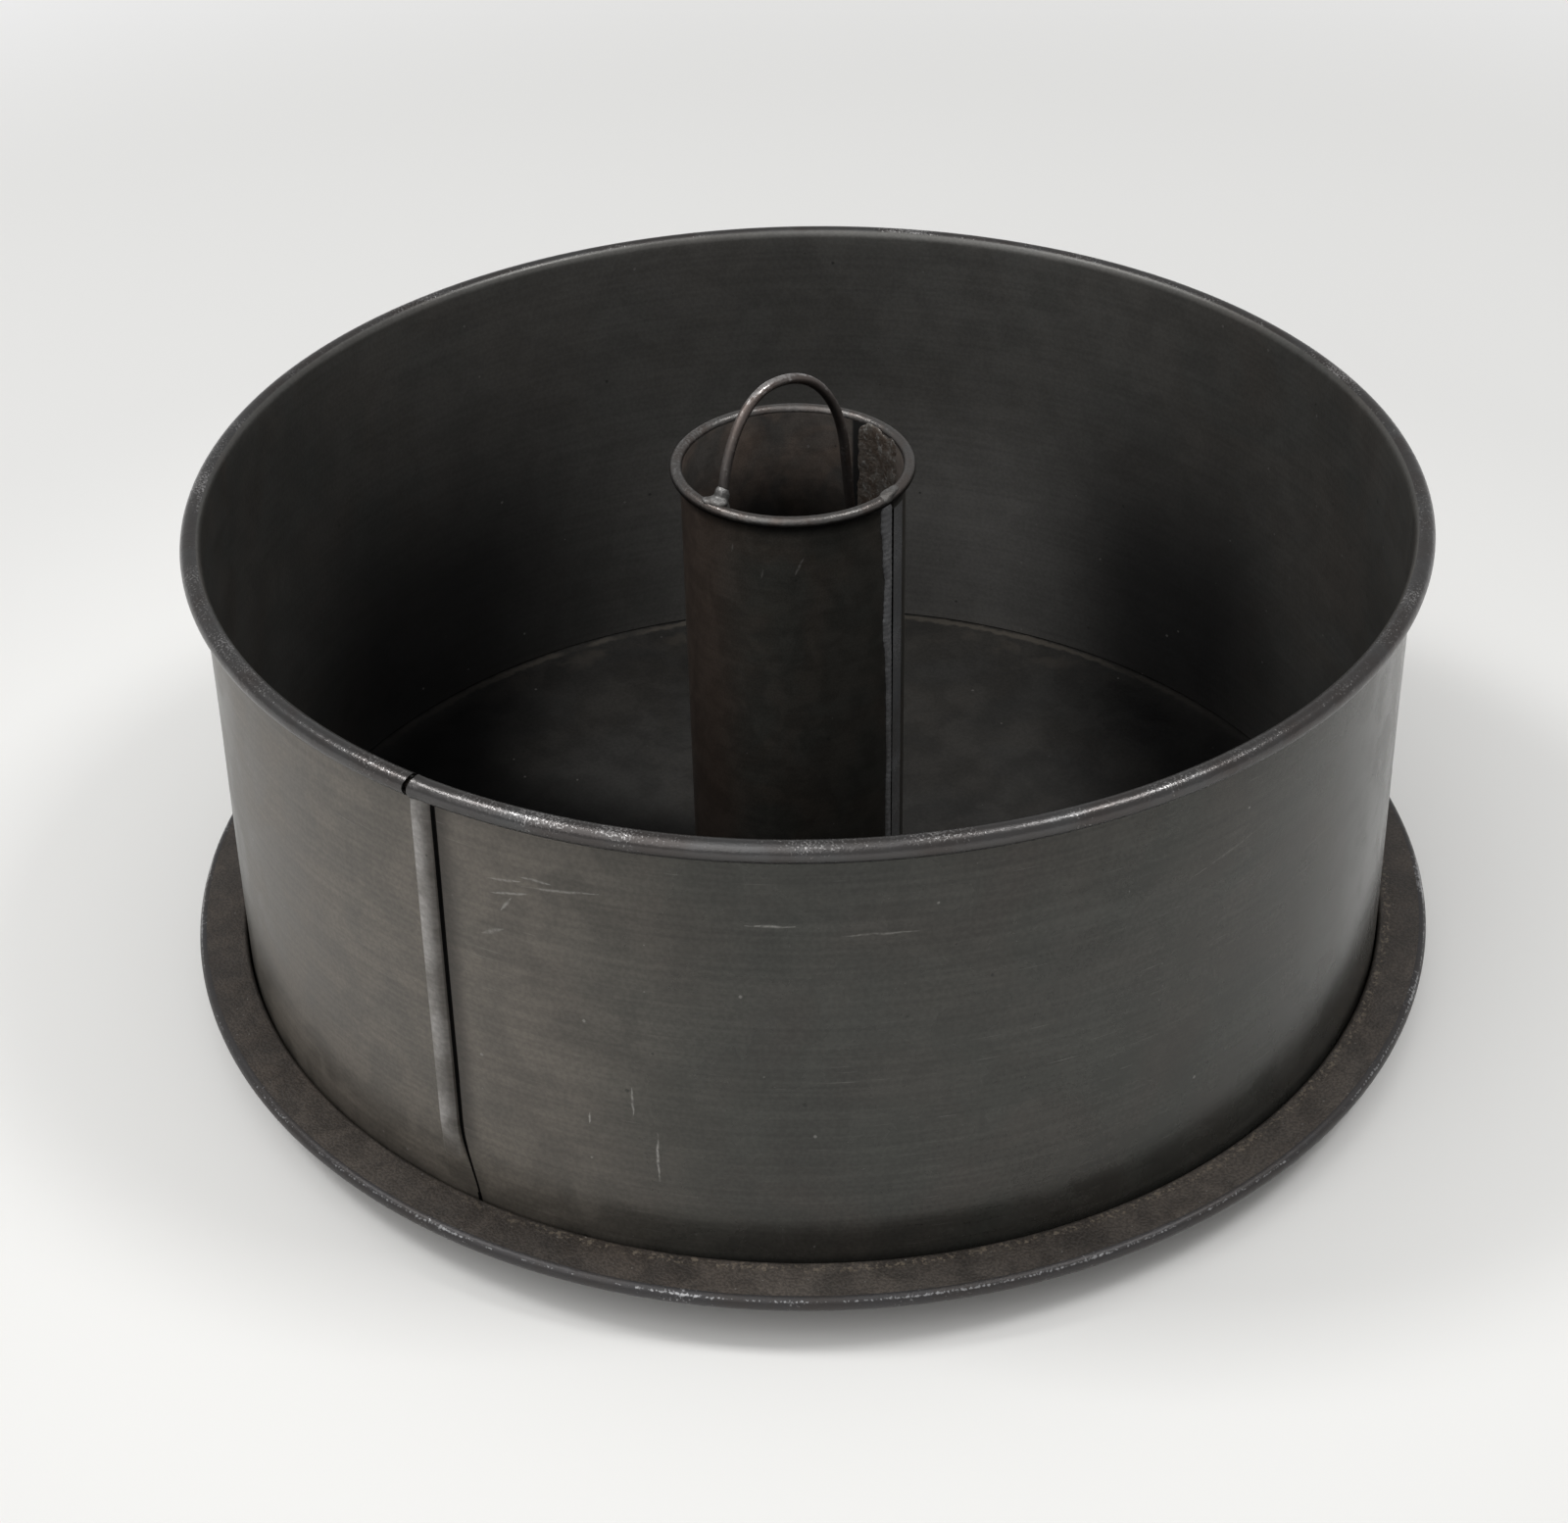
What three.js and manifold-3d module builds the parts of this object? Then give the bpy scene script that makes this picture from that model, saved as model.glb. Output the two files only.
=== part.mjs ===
// A two-piece tube cake pan in darkened tinned steel. A loose side hoop stands in a shallow
// base dish, and the dish carries a centre tube with a wire lifting loop. Millimetres, +Z up.
// The origin is the middle of the base's underside, and the lifting loop lies in the Y-Z plane.

import * as THREE from 'three';
import { mergeVertices } from 'three/addons/utils/BufferGeometryUtils.js';
import Module from 'manifold-3d';

const wasm = await Module();
wasm.setup();

const { degToRad } = THREE.MathUtils;

// Sheet and fits
const sheet = 0.5;
const fit = 0.3;
const curlGap = 0.35;

// Side hoop
const hoopTopInside = 228.6;
const hoopFlare = 2.35;
const hoopHeight = 102;
const hoopWire = 2.3;
const seamBearing = degToRad(-82.2);
const seamWidth = 4;
const seamProud = 1;
const seamFlatProud = 0.25;
const seamFlatHeight = 13;
const seamBlendHeight = 13;
const seamTopGap = 0.8;
const beadNotch = 1.4;

// Base dish
const flangeWidth = 8.75;
const baseHeight = 12;
const baseWire = 1.4;
const nestClearance = 0.6;
const floorBend = 0.6;
const flangeBend = 0.8;

// Centre tube
const tubeInside = 42.2;
const tubeHeight = 107;
const tubeWire = 0.8;
const tubeOffsetX = -1.75;
const tubeOffsetY = -1.6;
const lapStart = degToRad(10);
const lapWidth = 4;
const lapTopGap = 0.8;

// Lifting loop
const loopWire = 2;
const loopRise = 17.8;
const loopPeakShift = -6;
const loopFrontGap = 0.5;
const loopFrontSpring = 1.9;
const loopFrontLeg = 16;
const loopBackGap = 2.2;
const loopBackSpring = 3.6;
const loopBackLeg = 26;
const loopBackLean = 2.7;

// Solder
const solderThickness = 0.6;
const solderWrap = 0.5;
const loopSolderWidth = 5.6;
const frontSolderHeight = 6;
const backSolderHeight = 6;
const backSmearBearing = degToRad(82);
const backSmearWidth = 8.4;
const backSmearHeight = 20;
const backSmearDrop = 5;
const rimSolderWidth = 4;
const rimSolderBearing = degToRad(10.3);
const seamSolderWidth = 3.4;
const footSolderWidth = 2.5;
const footSolderHeight = 2;

// Finishes
const tinnedMetalness = 0.85;
const wallFinish = { color: '#3f3e39', roughness: 0.45 };
const baseFinish = { color: '#443d38', roughness: 0.6 };
const tubeFinish = { color: '#302c28', roughness: 0.5 };
const wireFinish = { color: '#5b5750', roughness: 0.45 };
const solderFinish = { color: '#7b7a76', roughness: 0.4 };

// Fineness of the round forms
const panSteps = 72;
const tubeSteps = 40;
const curlSteps = 8;
const bendSteps = 2;
const ringSides = 6;
const loopSides = 8;
const loopSteps = 56;
const sectorSteps = 4;

// Control-point length of a Bezier quarter ellipse, as a share of its half axis
const quarterHandle = 0.5523;

// Where a solder fillet's hollow face turns, as a share of its width and height
const hollowShare = 1 / 3;

// Sizes that follow from the driving dimensions
const hoopTop = hoopTopInside / 2;
const hoopBottom = hoopTop + hoopFlare;
const hoopBead = hoopWire / 2 + fit + sheet;
const baseBead = baseWire / 2 + fit + sheet;
const tubeBead = tubeWire / 2 + fit + sheet;
const hoopSeat = sheet + fit;
const hoopBeadHeight = hoopHeight - hoopBead;
const hoopBeadRadius = hoopTop + hoopBead;
const dishInside = hoopBottom + sheet + nestClearance;
const dishOutside = dishInside + sheet;
const baseBeadRadius = dishOutside + flangeWidth - baseBead;
const baseBeadHeight = baseHeight - baseBead;
const tubeInner = tubeInside / 2;
const tubeOuter = tubeInner + sheet;
const tubeBeadRadius = tubeInner + tubeBead;
const tubeBeadHeight = tubeHeight - tubeBead;
const loopFrontReach = tubeInner - loopFrontGap - loopWire / 2;
const loopBackReach = tubeInner - loopBackGap - loopWire / 2;
const loopBackSlope = loopBackLean / (loopBackLeg - loopBackSpring);
const lapBottom = sheet + 2 * fit + footSolderHeight;
const lapHeight = tubeHeight - 2 * tubeBead - lapTopGap - lapBottom;

// The angle short of a full turn at which a curled edge stops, clear of its own sheet
function curlOpening(bead) {
  return Math.acos(1 - (sheet + curlGap) / bead);
}

function arc(x, y, radius, from, to, clockwise, steps) {
  return new THREE.EllipseCurve(x, y, radius, radius, from, to, clockwise).getPoints(steps);
}

// Turns a closed counter-clockwise outline of (radius, height) points about Z
function revolve(outline, steps) {
  const points = [...outline, outline[0].clone()];
  return new THREE.LatheGeometry(points, steps).rotateX(Math.PI / 2);
}

// A ring of wire about Z
function wireRing(radius, height, wire, steps) {
  const section = arc(radius, height, wire / 2, 0, 2 * Math.PI, false, ringSides).slice(0, -1);
  return revolve(section, steps);
}

// Outline of a sheet wall that stands up and curls outwards around a wire
function curledWall(bottomInner, topInner, beadHeight, bead) {
  const opening = curlOpening(bead);
  const curlEnd = Math.PI + opening;
  const centre = topInner + bead;
  return [
    new THREE.Vector2(bottomInner, 0),
    new THREE.Vector2(bottomInner + sheet, 0),
    ...arc(centre, beadHeight, bead - sheet, Math.PI, curlEnd, true, curlSteps),
    ...arc(centre, beadHeight, bead, curlEnd, Math.PI, false, curlSteps),
  ];
}

// A slab cut to a (radius, height) outline, centred on a bearing about Z
function radialSlab(outline, width, bearing) {
  const shape = new THREE.Shape(outline);
  const slab = new THREE.ExtrudeGeometry(shape, { depth: width, bevelEnabled: false });
  return slab.translate(0, 0, -width / 2).rotateX(Math.PI / 2).rotateZ(bearing);
}

// A curved block between two radii, on either side of a bearing about Z
function curvedBlock(inner, outer, bearing, width, bottom, height) {
  const sweep = width / inner;
  const start = bearing - sweep / 2;
  const shape = new THREE.Shape();
  shape.absarc(0, 0, outer, start, start + sweep, false);
  shape.absarc(0, 0, inner, start + sweep, start, true);
  const options = { depth: height, bevelEnabled: false, curveSegments: sectorSteps };
  return new THREE.ExtrudeGeometry(shape, options).translate(0, 0, bottom);
}

function toSolid(geometry) {
  const bare = geometry.clone();
  bare.deleteAttribute('normal');
  bare.deleteAttribute('uv');
  const merged = mergeVertices(bare);
  const vertProperties = new Float32Array(merged.attributes.position.array);
  const triVerts = new Uint32Array(merged.index.array);
  return new wasm.Manifold(new wasm.Mesh({ numProp: 3, vertProperties, triVerts }));
}

function toGeometry(solid) {
  const mesh = solid.getMesh();
  const geometry = new THREE.BufferGeometry();
  geometry.setAttribute('position', new THREE.BufferAttribute(mesh.vertProperties, 3));
  geometry.setIndex(new THREE.BufferAttribute(mesh.triVerts, 1));
  geometry.computeVertexNormals();
  return geometry;
}

function part(name, geometry, finish) {
  const material = new THREE.MeshStandardMaterial({ ...finish, metalness: tinnedMetalness });
  const mesh = new THREE.Mesh(geometry, material);
  mesh.name = name;
  return mesh;
}

// Side hoop: a slightly flared wall with a wired top edge and one grooved lock seam
function hoopInner(height) {
  return THREE.MathUtils.lerp(hoopBottom, hoopTop, height / hoopBeadHeight);
}

function seamOutline() {
  const blendTop = seamFlatHeight + seamBlendHeight;
  const top = hoopHeight - 2 * hoopBead - seamTopGap;
  const root = -sheet / 2;
  const face = (height, proud) => new THREE.Vector2(hoopInner(height) + sheet + proud, height);
  return [
    face(0, root),
    face(0, seamFlatProud),
    face(seamFlatHeight, seamFlatProud),
    face(blendTop, seamProud),
    face(top, seamProud),
    face(top, root),
  ];
}

// The gap across the bead where the two ends of the curled edge meet
function notchOutline() {
  const reach = 2 * hoopBead;
  const inner = hoopTop + sheet + curlGap / 2;
  const outer = hoopBeadRadius + reach;
  const low = hoopBeadHeight - reach;
  const high = hoopBeadHeight + reach;
  return [
    new THREE.Vector2(inner, low),
    new THREE.Vector2(outer, low),
    new THREE.Vector2(outer, high),
    new THREE.Vector2(inner, high),
  ];
}

function sideWall() {
  const outline = curledWall(hoopBottom, hoopTop, hoopBeadHeight, hoopBead);
  const wall = toSolid(revolve(outline, panSteps));
  const seam = toSolid(radialSlab(seamOutline(), seamWidth, seamBearing));
  const notch = toSolid(radialSlab(notchOutline(), beadNotch, seamBearing));
  return toGeometry(wall.subtract(notch).add(seam));
}

// Base dish: a flat floor, an upright side that the hoop nests in, and a wired flange
function baseDish() {
  const hole = tubeOuter + fit;
  const floorY = sheet + floorBend;
  const flangeX = dishOutside + flangeBend;
  const flangeY = baseHeight - sheet - flangeBend;
  const curlEnd = Math.PI / 2 + curlOpening(baseBead);
  const quarter = Math.PI / 2;
  const outline = [
    new THREE.Vector2(0, 0),
    ...arc(dishInside - floorBend, floorY, floorBend + sheet, -quarter, 0, false, bendSteps),
    ...arc(flangeX, flangeY, flangeBend, Math.PI, quarter, true, bendSteps),
    ...arc(baseBeadRadius, baseBeadHeight, baseBead - sheet, quarter, curlEnd, true, curlSteps),
    ...arc(baseBeadRadius, baseBeadHeight, baseBead, curlEnd, quarter, false, curlSteps),
    ...arc(flangeX, flangeY, flangeBend + sheet, quarter, Math.PI, false, bendSteps),
    ...arc(dishInside - floorBend, floorY, floorBend, 0, -quarter, true, bendSteps),
    new THREE.Vector2(0, sheet),
  ];
  const dish = toSolid(revolve(outline, panSteps));
  const bore = new THREE.CylinderGeometry(hole, hole, baseHeight, tubeSteps).rotateX(quarter);
  return toGeometry(dish.subtract(toSolid(bore.translate(tubeOffsetX, tubeOffsetY, 0))));
}

// Centre tube: a rolled sheet with a lapped seam and a wired top edge
function centreTube() {
  const wall = toSolid(revolve(curledWall(tubeInner, tubeInner, tubeBeadHeight, tubeBead), tubeSteps));
  const root = tubeOuter - sheet / 2;
  const bearing = lapStart + lapWidth / tubeOuter / 2;
  const lap = curvedBlock(root, tubeOuter + sheet, bearing, lapWidth, lapBottom, lapHeight);
  return toGeometry(wall.add(toSolid(lap)));
}

// Lifting loop: one bent wire whose legs run down inside the tube, the back one leaning in from its foot
function liftingLoop() {
  const point = (y, z) => new THREE.Vector3(0, y, z);
  const peak = tubeHeight + loopRise;
  const frontSpring = tubeHeight - loopFrontSpring;
  const backSpring = tubeHeight - loopBackSpring;
  const backTop = loopBackReach - loopBackLean;
  const frontHandle = quarterHandle * (peak - frontSpring);
  const backHandle = quarterHandle * (peak - backSpring);
  const path = new THREE.CurvePath();
  path.add(new THREE.LineCurve3(
    point(-loopFrontReach, tubeHeight - loopFrontLeg),
    point(-loopFrontReach, frontSpring),
  ));
  path.add(new THREE.CubicBezierCurve3(
    point(-loopFrontReach, frontSpring),
    point(-loopFrontReach, frontSpring + frontHandle),
    point(loopPeakShift - quarterHandle * (loopPeakShift + loopFrontReach), peak),
    point(loopPeakShift, peak),
  ));
  path.add(new THREE.CubicBezierCurve3(
    point(loopPeakShift, peak),
    point(loopPeakShift + quarterHandle * (backTop - loopPeakShift), peak),
    point(backTop - loopBackSlope * backHandle, backSpring + backHandle),
    point(backTop, backSpring),
  ));
  path.add(new THREE.LineCurve3(
    point(backTop, backSpring),
    point(loopBackReach, tubeHeight - loopBackLeg),
  ));
  const section = new THREE.Shape();
  section.absarc(0, 0, loopWire / 2, 0, 2 * Math.PI, false);
  const options = { extrudePath: path, steps: loopSteps, curveSegments: loopSides / 2 };
  return new THREE.ExtrudeGeometry(section, options);
}

// Room for a leg of the loop that passes a point of the Y-Z plane, cut out of the solder that holds it
function legRoom(y, z, slope) {
  const radius = loopWire / 2 + fit;
  const room = new THREE.CylinderGeometry(radius, radius, 2 * tubeHeight, loopSides);
  return toSolid(room.rotateX(Math.PI / 2 + Math.atan(slope)).translate(0, y, z));
}

// The front leg's solder fills the gap to the tube and spreads over the top of the bead
function frontSolder() {
  const bearing = -Math.PI / 2;
  const inner = loopFrontReach - solderWrap;
  const top = tubeHeight + fit + solderThickness;
  const width = loopSolderWidth;
  const height = frontSolderHeight;
  const fillet = curvedBlock(inner, tubeInner - fit, bearing, width, top - height, height);
  const cap = curvedBlock(inner, tubeBeadRadius, bearing, width, tubeHeight + fit, solderThickness);
  const room = legRoom(-loopFrontReach, tubeHeight, 0);
  return toGeometry(toSolid(fillet).add(toSolid(cap)).subtract(room));
}

// The back leg's solder: a cradle at the leg's foot, and a smear up the inside of the tube
function backSolder() {
  const outer = tubeInner - fit;
  const foot = tubeHeight - loopBackLeg;
  const inner = loopBackReach - solderWrap;
  const cradle = curvedBlock(inner, outer, Math.PI / 2, loopSolderWidth, foot, backSolderHeight);
  const room = legRoom(loopBackReach, foot, loopBackSlope);
  const smearBottom = tubeHeight - backSmearDrop - backSmearHeight;
  const smear = curvedBlock(
    outer - solderThickness, outer, backSmearBearing, backSmearWidth, smearBottom, backSmearHeight);
  return toGeometry(toSolid(cradle).subtract(room).add(toSolid(smear)));
}

// The solder that closes the joint in the tube's bead wraps its top and outer side
function rimSolder() {
  const reach = tubeBeadRadius + tubeBead + fit;
  const width = rimSolderWidth;
  const top = tubeHeight + fit;
  const cap = curvedBlock(
    tubeBeadRadius, reach + solderThickness, rimSolderBearing, width, top, solderThickness);
  const apron = curvedBlock(
    reach, reach + solderThickness, rimSolderBearing, width * reach / tubeBeadRadius,
    tubeBeadHeight, tubeBead + fit + solderThickness);
  return toGeometry(toSolid(cap).add(toSolid(apron)));
}

// The solder along the free edge of the tube's lapped seam
function seamSolder() {
  const inner = tubeOuter + fit;
  const outer = inner + solderThickness;
  const bearing = lapStart - (fit + seamSolderWidth / 2) / tubeOuter;
  return curvedBlock(inner, outer, bearing, seamSolderWidth, lapBottom, lapHeight);
}

// The ring of solder that seals the foot of the tube to the floor
function footSolder() {
  const inner = tubeOuter + fit;
  const low = sheet + fit;
  const outline = [
    new THREE.Vector2(inner, low),
    new THREE.Vector2(inner + footSolderWidth, low),
    new THREE.Vector2(inner + hollowShare * footSolderWidth, low + hollowShare * footSolderHeight),
    new THREE.Vector2(inner, low + footSolderHeight),
  ];
  return revolve(outline, tubeSteps);
}

const hoop = new THREE.Group();
hoop.position.z = hoopSeat;
hoop.add(
  part('side_wall', sideWall(), wallFinish),
  part('rim_wire', wireRing(hoopBeadRadius, hoopBeadHeight, hoopWire, panSteps), wireFinish),
);

const tube = new THREE.Group();
tube.position.set(tubeOffsetX, tubeOffsetY, 0);
tube.add(
  part('centre_tube', centreTube(), tubeFinish),
  part('tube_rim_wire', wireRing(tubeBeadRadius, tubeBeadHeight, tubeWire, tubeSteps), wireFinish),
  part('lifting_loop', liftingLoop(), wireFinish),
  part('loop_solder_front', frontSolder(), solderFinish),
  part('loop_solder_back', backSolder(), solderFinish),
  part('tube_rim_solder', rimSolder(), solderFinish),
  part('tube_seam_solder', seamSolder(), solderFinish),
  part('tube_foot_solder', footSolder(), solderFinish),
);

const base = new THREE.Group();
base.add(
  part('base_dish', baseDish(), baseFinish),
  part('base_rim_wire', wireRing(baseBeadRadius, baseBeadHeight, baseWire, panSteps), wireFinish),
  tube,
);

const pan = new THREE.Group();
pan.add(base, hoop);

export default pan;
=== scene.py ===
"""Looks of a two-piece tube cake pan in darkened tinned steel.

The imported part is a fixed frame. Each piece here is a finer mesh in the place of one solid of that frame,
with a procedural finish. Lengths are metres, +Z is up, and the pan stands on z = 0.
"""

import logging
import math
from collections.abc import Callable, Iterable, Sequence
from dataclasses import dataclass, field
from enum import Enum, IntEnum

import bmesh
import bpy
from mathutils import Matrix, Vector, noise
from mathutils.geometry import interpolate_bezier

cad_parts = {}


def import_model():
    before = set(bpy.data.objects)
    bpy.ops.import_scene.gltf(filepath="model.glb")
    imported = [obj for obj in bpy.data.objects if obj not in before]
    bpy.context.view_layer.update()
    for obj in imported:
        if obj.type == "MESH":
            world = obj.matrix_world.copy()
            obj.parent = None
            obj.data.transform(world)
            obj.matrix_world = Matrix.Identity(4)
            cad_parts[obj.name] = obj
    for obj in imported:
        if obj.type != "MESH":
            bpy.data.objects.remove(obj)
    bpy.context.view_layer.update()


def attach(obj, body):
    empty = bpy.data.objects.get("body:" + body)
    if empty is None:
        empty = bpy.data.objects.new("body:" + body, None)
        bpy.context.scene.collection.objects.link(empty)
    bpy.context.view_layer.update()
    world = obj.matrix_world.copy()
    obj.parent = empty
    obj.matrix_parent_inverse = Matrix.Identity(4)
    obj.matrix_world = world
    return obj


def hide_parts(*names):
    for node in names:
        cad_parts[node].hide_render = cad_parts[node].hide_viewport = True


LOG = logging.getLogger("cake_pan")
MM = 0.001
MERGE_DISTANCE = 0.001 * MM
SHARP_ANGLE = math.radians(38)
UP = Vector((0, 0, 1))

Colour = tuple[float, float, float]
Spot = tuple[float, float]
Source = bpy.types.NodeSocket | float | tuple


class Body(Enum):
    """The two loose halves of the pan."""

    BASE = "base"
    HOOP = "hoop"


class Slot(Enum):
    """Material slots of the record."""

    HOOP_SHEET = "hoop_sheet"
    BASE_SHEET = "base_sheet"
    TUBE_SHEET = "tube_sheet"
    EDGE_WIRE = "edge_wire"
    LOOP_WIRE = "loop_wire"
    SOLDER = "solder"


class HoopZone(IntEnum):
    """Places of the hoop's materials."""

    OUTSIDE = 0
    INSIDE = 1
    BEAD = 2
    SEAM_GAP = 3


class TubeZone(IntEnum):
    """Places of the tube's materials."""

    OUTSIDE = 0
    INSIDE = 1
    BEAD = 2
    LAP = 3
    LAP_EDGE = 4


class DishZone(IntEnum):
    """Places of the dish's materials."""

    FLANGE = 0
    FLOOR = 1
    EDGE = 2


class SocketKind(Enum):
    """Kinds of socket on the shared shader groups."""

    VALUE = "NodeSocketFloat"
    VECTOR = "NodeSocketVector"


def smooth_share(value: float, low: float, high: float) -> float:
    """Smooth rise from 0 to 1 between two limits.

    Args:
        value: The value to place between the limits.
        low: Where the rise starts.
        high: Where the rise ends.

    Returns:
        The eased share, from 0 to 1.
    """
    share = min(1.0, max(0.0, (value - low) / (high - low)))
    return share * share * (3 - 2 * share)


def mixed(start: float, end: float, share: float) -> float:
    """Value that lies a share of the way from start to end."""
    return start + (end - start) * share


def scaled_colour(colour: Colour, factor: float) -> Colour:
    """Colour with every channel times a number."""
    return tuple(channel * factor for channel in colour)


def rgba(colour: Colour) -> tuple[float, float, float, float]:
    """Opaque colour for a shader socket."""
    return (*colour, 1.0)


class Graph:
    """A shader node tree with short calls for the nodes that the finishes use."""

    def __init__(self, tree: bpy.types.NodeTree) -> None:
        """Takes the tree that the nodes go into."""
        self.tree = tree

    def feed(self, socket: bpy.types.NodeSocket, source: Source) -> None:
        """Links a socket to another one, or sets its own value.

        Args:
            socket: The input to fill.
            source: An output socket, or a plain value.
        """
        if isinstance(source, bpy.types.NodeSocket):
            self.tree.links.new(source, socket)
        else:
            socket.default_value = source

    def add(self, kind: str, inputs: dict[str | int, Source], **settings: object) -> bpy.types.Node:
        """Adds a node.

        Args:
            kind: Blender's name of the node type.
            inputs: What each input takes, by its name or place.
            **settings: Properties of the node itself.

        Returns:
            The new node.
        """
        node = self.tree.nodes.new(kind)
        for name, value in settings.items():
            setattr(node, name, value)
        for key, source in inputs.items():
            self.feed(node.inputs[key], source)
        return node

    def math(self, operation: str, *sources: Source, clamp: bool = False) -> bpy.types.NodeSocket:
        """Arithmetic on values.

        Args:
            operation: Blender's name of the operation.
            *sources: The operands.
            clamp: Whether the result is kept from 0 to 1.

        Returns:
            The result.
        """
        operands = dict(enumerate(sources))
        return self.add("ShaderNodeMath", operands, operation=operation, use_clamp=clamp).outputs[0]

    def vector(self, operation: str, *sources: Source) -> bpy.types.NodeSocket:
        """Arithmetic on vectors that gives a vector."""
        node = self.add("ShaderNodeVectorMath", dict(enumerate(sources)), operation=operation)
        return node.outputs["Vector"]

    def measure(self, operation: str, *sources: Source) -> bpy.types.NodeSocket:
        """Arithmetic on vectors that gives a number."""
        node = self.add("ShaderNodeVectorMath", dict(enumerate(sources)), operation=operation)
        return node.outputs["Value"]

    def scaled(self, vector: Source, factor: Source) -> bpy.types.NodeSocket:
        """Vector times a number."""
        node = self.add("ShaderNodeVectorMath", {0: vector, "Scale": factor}, operation="SCALE")
        return node.outputs["Vector"]

    def remap(self, value: Source, low: Source, high: Source,
              start: Source = 0.0, end: Source = 1.0) -> bpy.types.NodeSocket:
        """Eased change of a value from one range to another.

        Args:
            value: The value to change.
            low: Where the old range starts.
            high: Where the old range ends.
            start: What the low limit becomes.
            end: What the high limit becomes.

        Returns:
            The value in its new range.
        """
        inputs = {"Value": value, "From Min": low, "From Max": high, "To Min": start, "To Max": end}
        return self.add("ShaderNodeMapRange", inputs, interpolation_type="SMOOTHSTEP").outputs["Result"]

    def mix(self, share: Source, start: Source, end: Source) -> bpy.types.NodeSocket:
        """Colour that lies a share of the way between two others."""
        inputs = {0: share, 6: start, 7: end}
        return self.add("ShaderNodeMix", inputs, data_type="RGBA").outputs[2]

    def blend(self, share: Source, start: Source, end: Source) -> bpy.types.NodeSocket:
        """Value that lies a share of the way between two others."""
        inputs = {0: share, 2: start, 3: end}
        return self.add("ShaderNodeMix", inputs, data_type="FLOAT").outputs[0]

    def noise(self, vector: Source, scale: Source, detail: float = 2.0,
              distortion: float = 0.0) -> bpy.types.NodeSocket:
        """Cloud noise.

        Args:
            vector: Where the noise is read.
            scale: Clouds per metre.
            detail: How many finer layers are added.
            distortion: How far the clouds are drawn out.

        Returns:
            The noise, from 0 to 1 around 0.5.
        """
        inputs = {"Vector": vector, "Scale": scale, "Detail": detail, "Distortion": distortion}
        return self.add("ShaderNodeTexNoise", inputs).outputs[0]

    def place(self, vector: Source, turn: float, scale: tuple[float, float, float]) -> bpy.types.NodeSocket:
        """Coordinates turned about Z and scaled, for a pattern that runs one way.

        Args:
            vector: The coordinates.
            turn: The angle, in radians.
            scale: The scale along each axis.

        Returns:
            The new coordinates.
        """
        inputs = {"Vector": vector, "Rotation": (0.0, 0.0, turn), "Scale": scale}
        return self.add("ShaderNodeMapping", inputs, vector_type="POINT").outputs[0]

    def group(self, tree: bpy.types.NodeTree, inputs: dict[str, Source]) -> bpy.types.Node:
        """Places a shared group with its own values."""
        return self.add("ShaderNodeGroup", inputs, node_tree=tree)

    def relief(self, height: Source, strength: float) -> bpy.types.NodeSocket:
        """Normal of a surface with a fine relief."""
        inputs = {"Strength": strength, "Distance": MM, "Height": height}
        return self.add("ShaderNodeBump", inputs).outputs[0]

    def dress(self, sources: dict[str, Source]) -> None:
        """Feeds the surface shader of a material's tree.

        Args:
            sources: What each of the shader's inputs takes, by its name.
        """
        shader = self.tree.nodes["Principled BSDF"]
        for name, source in sources.items():
            self.feed(shader.inputs[name], source)


def new_material(name: str) -> tuple[bpy.types.Material, Graph]:
    """Starts a material.

    Args:
        name: Its name.

    Returns:
        The material, and the graph that its nodes go into.
    """
    made = bpy.data.materials.new(name)
    made.use_nodes = True
    return made, Graph(made.node_tree)


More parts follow.
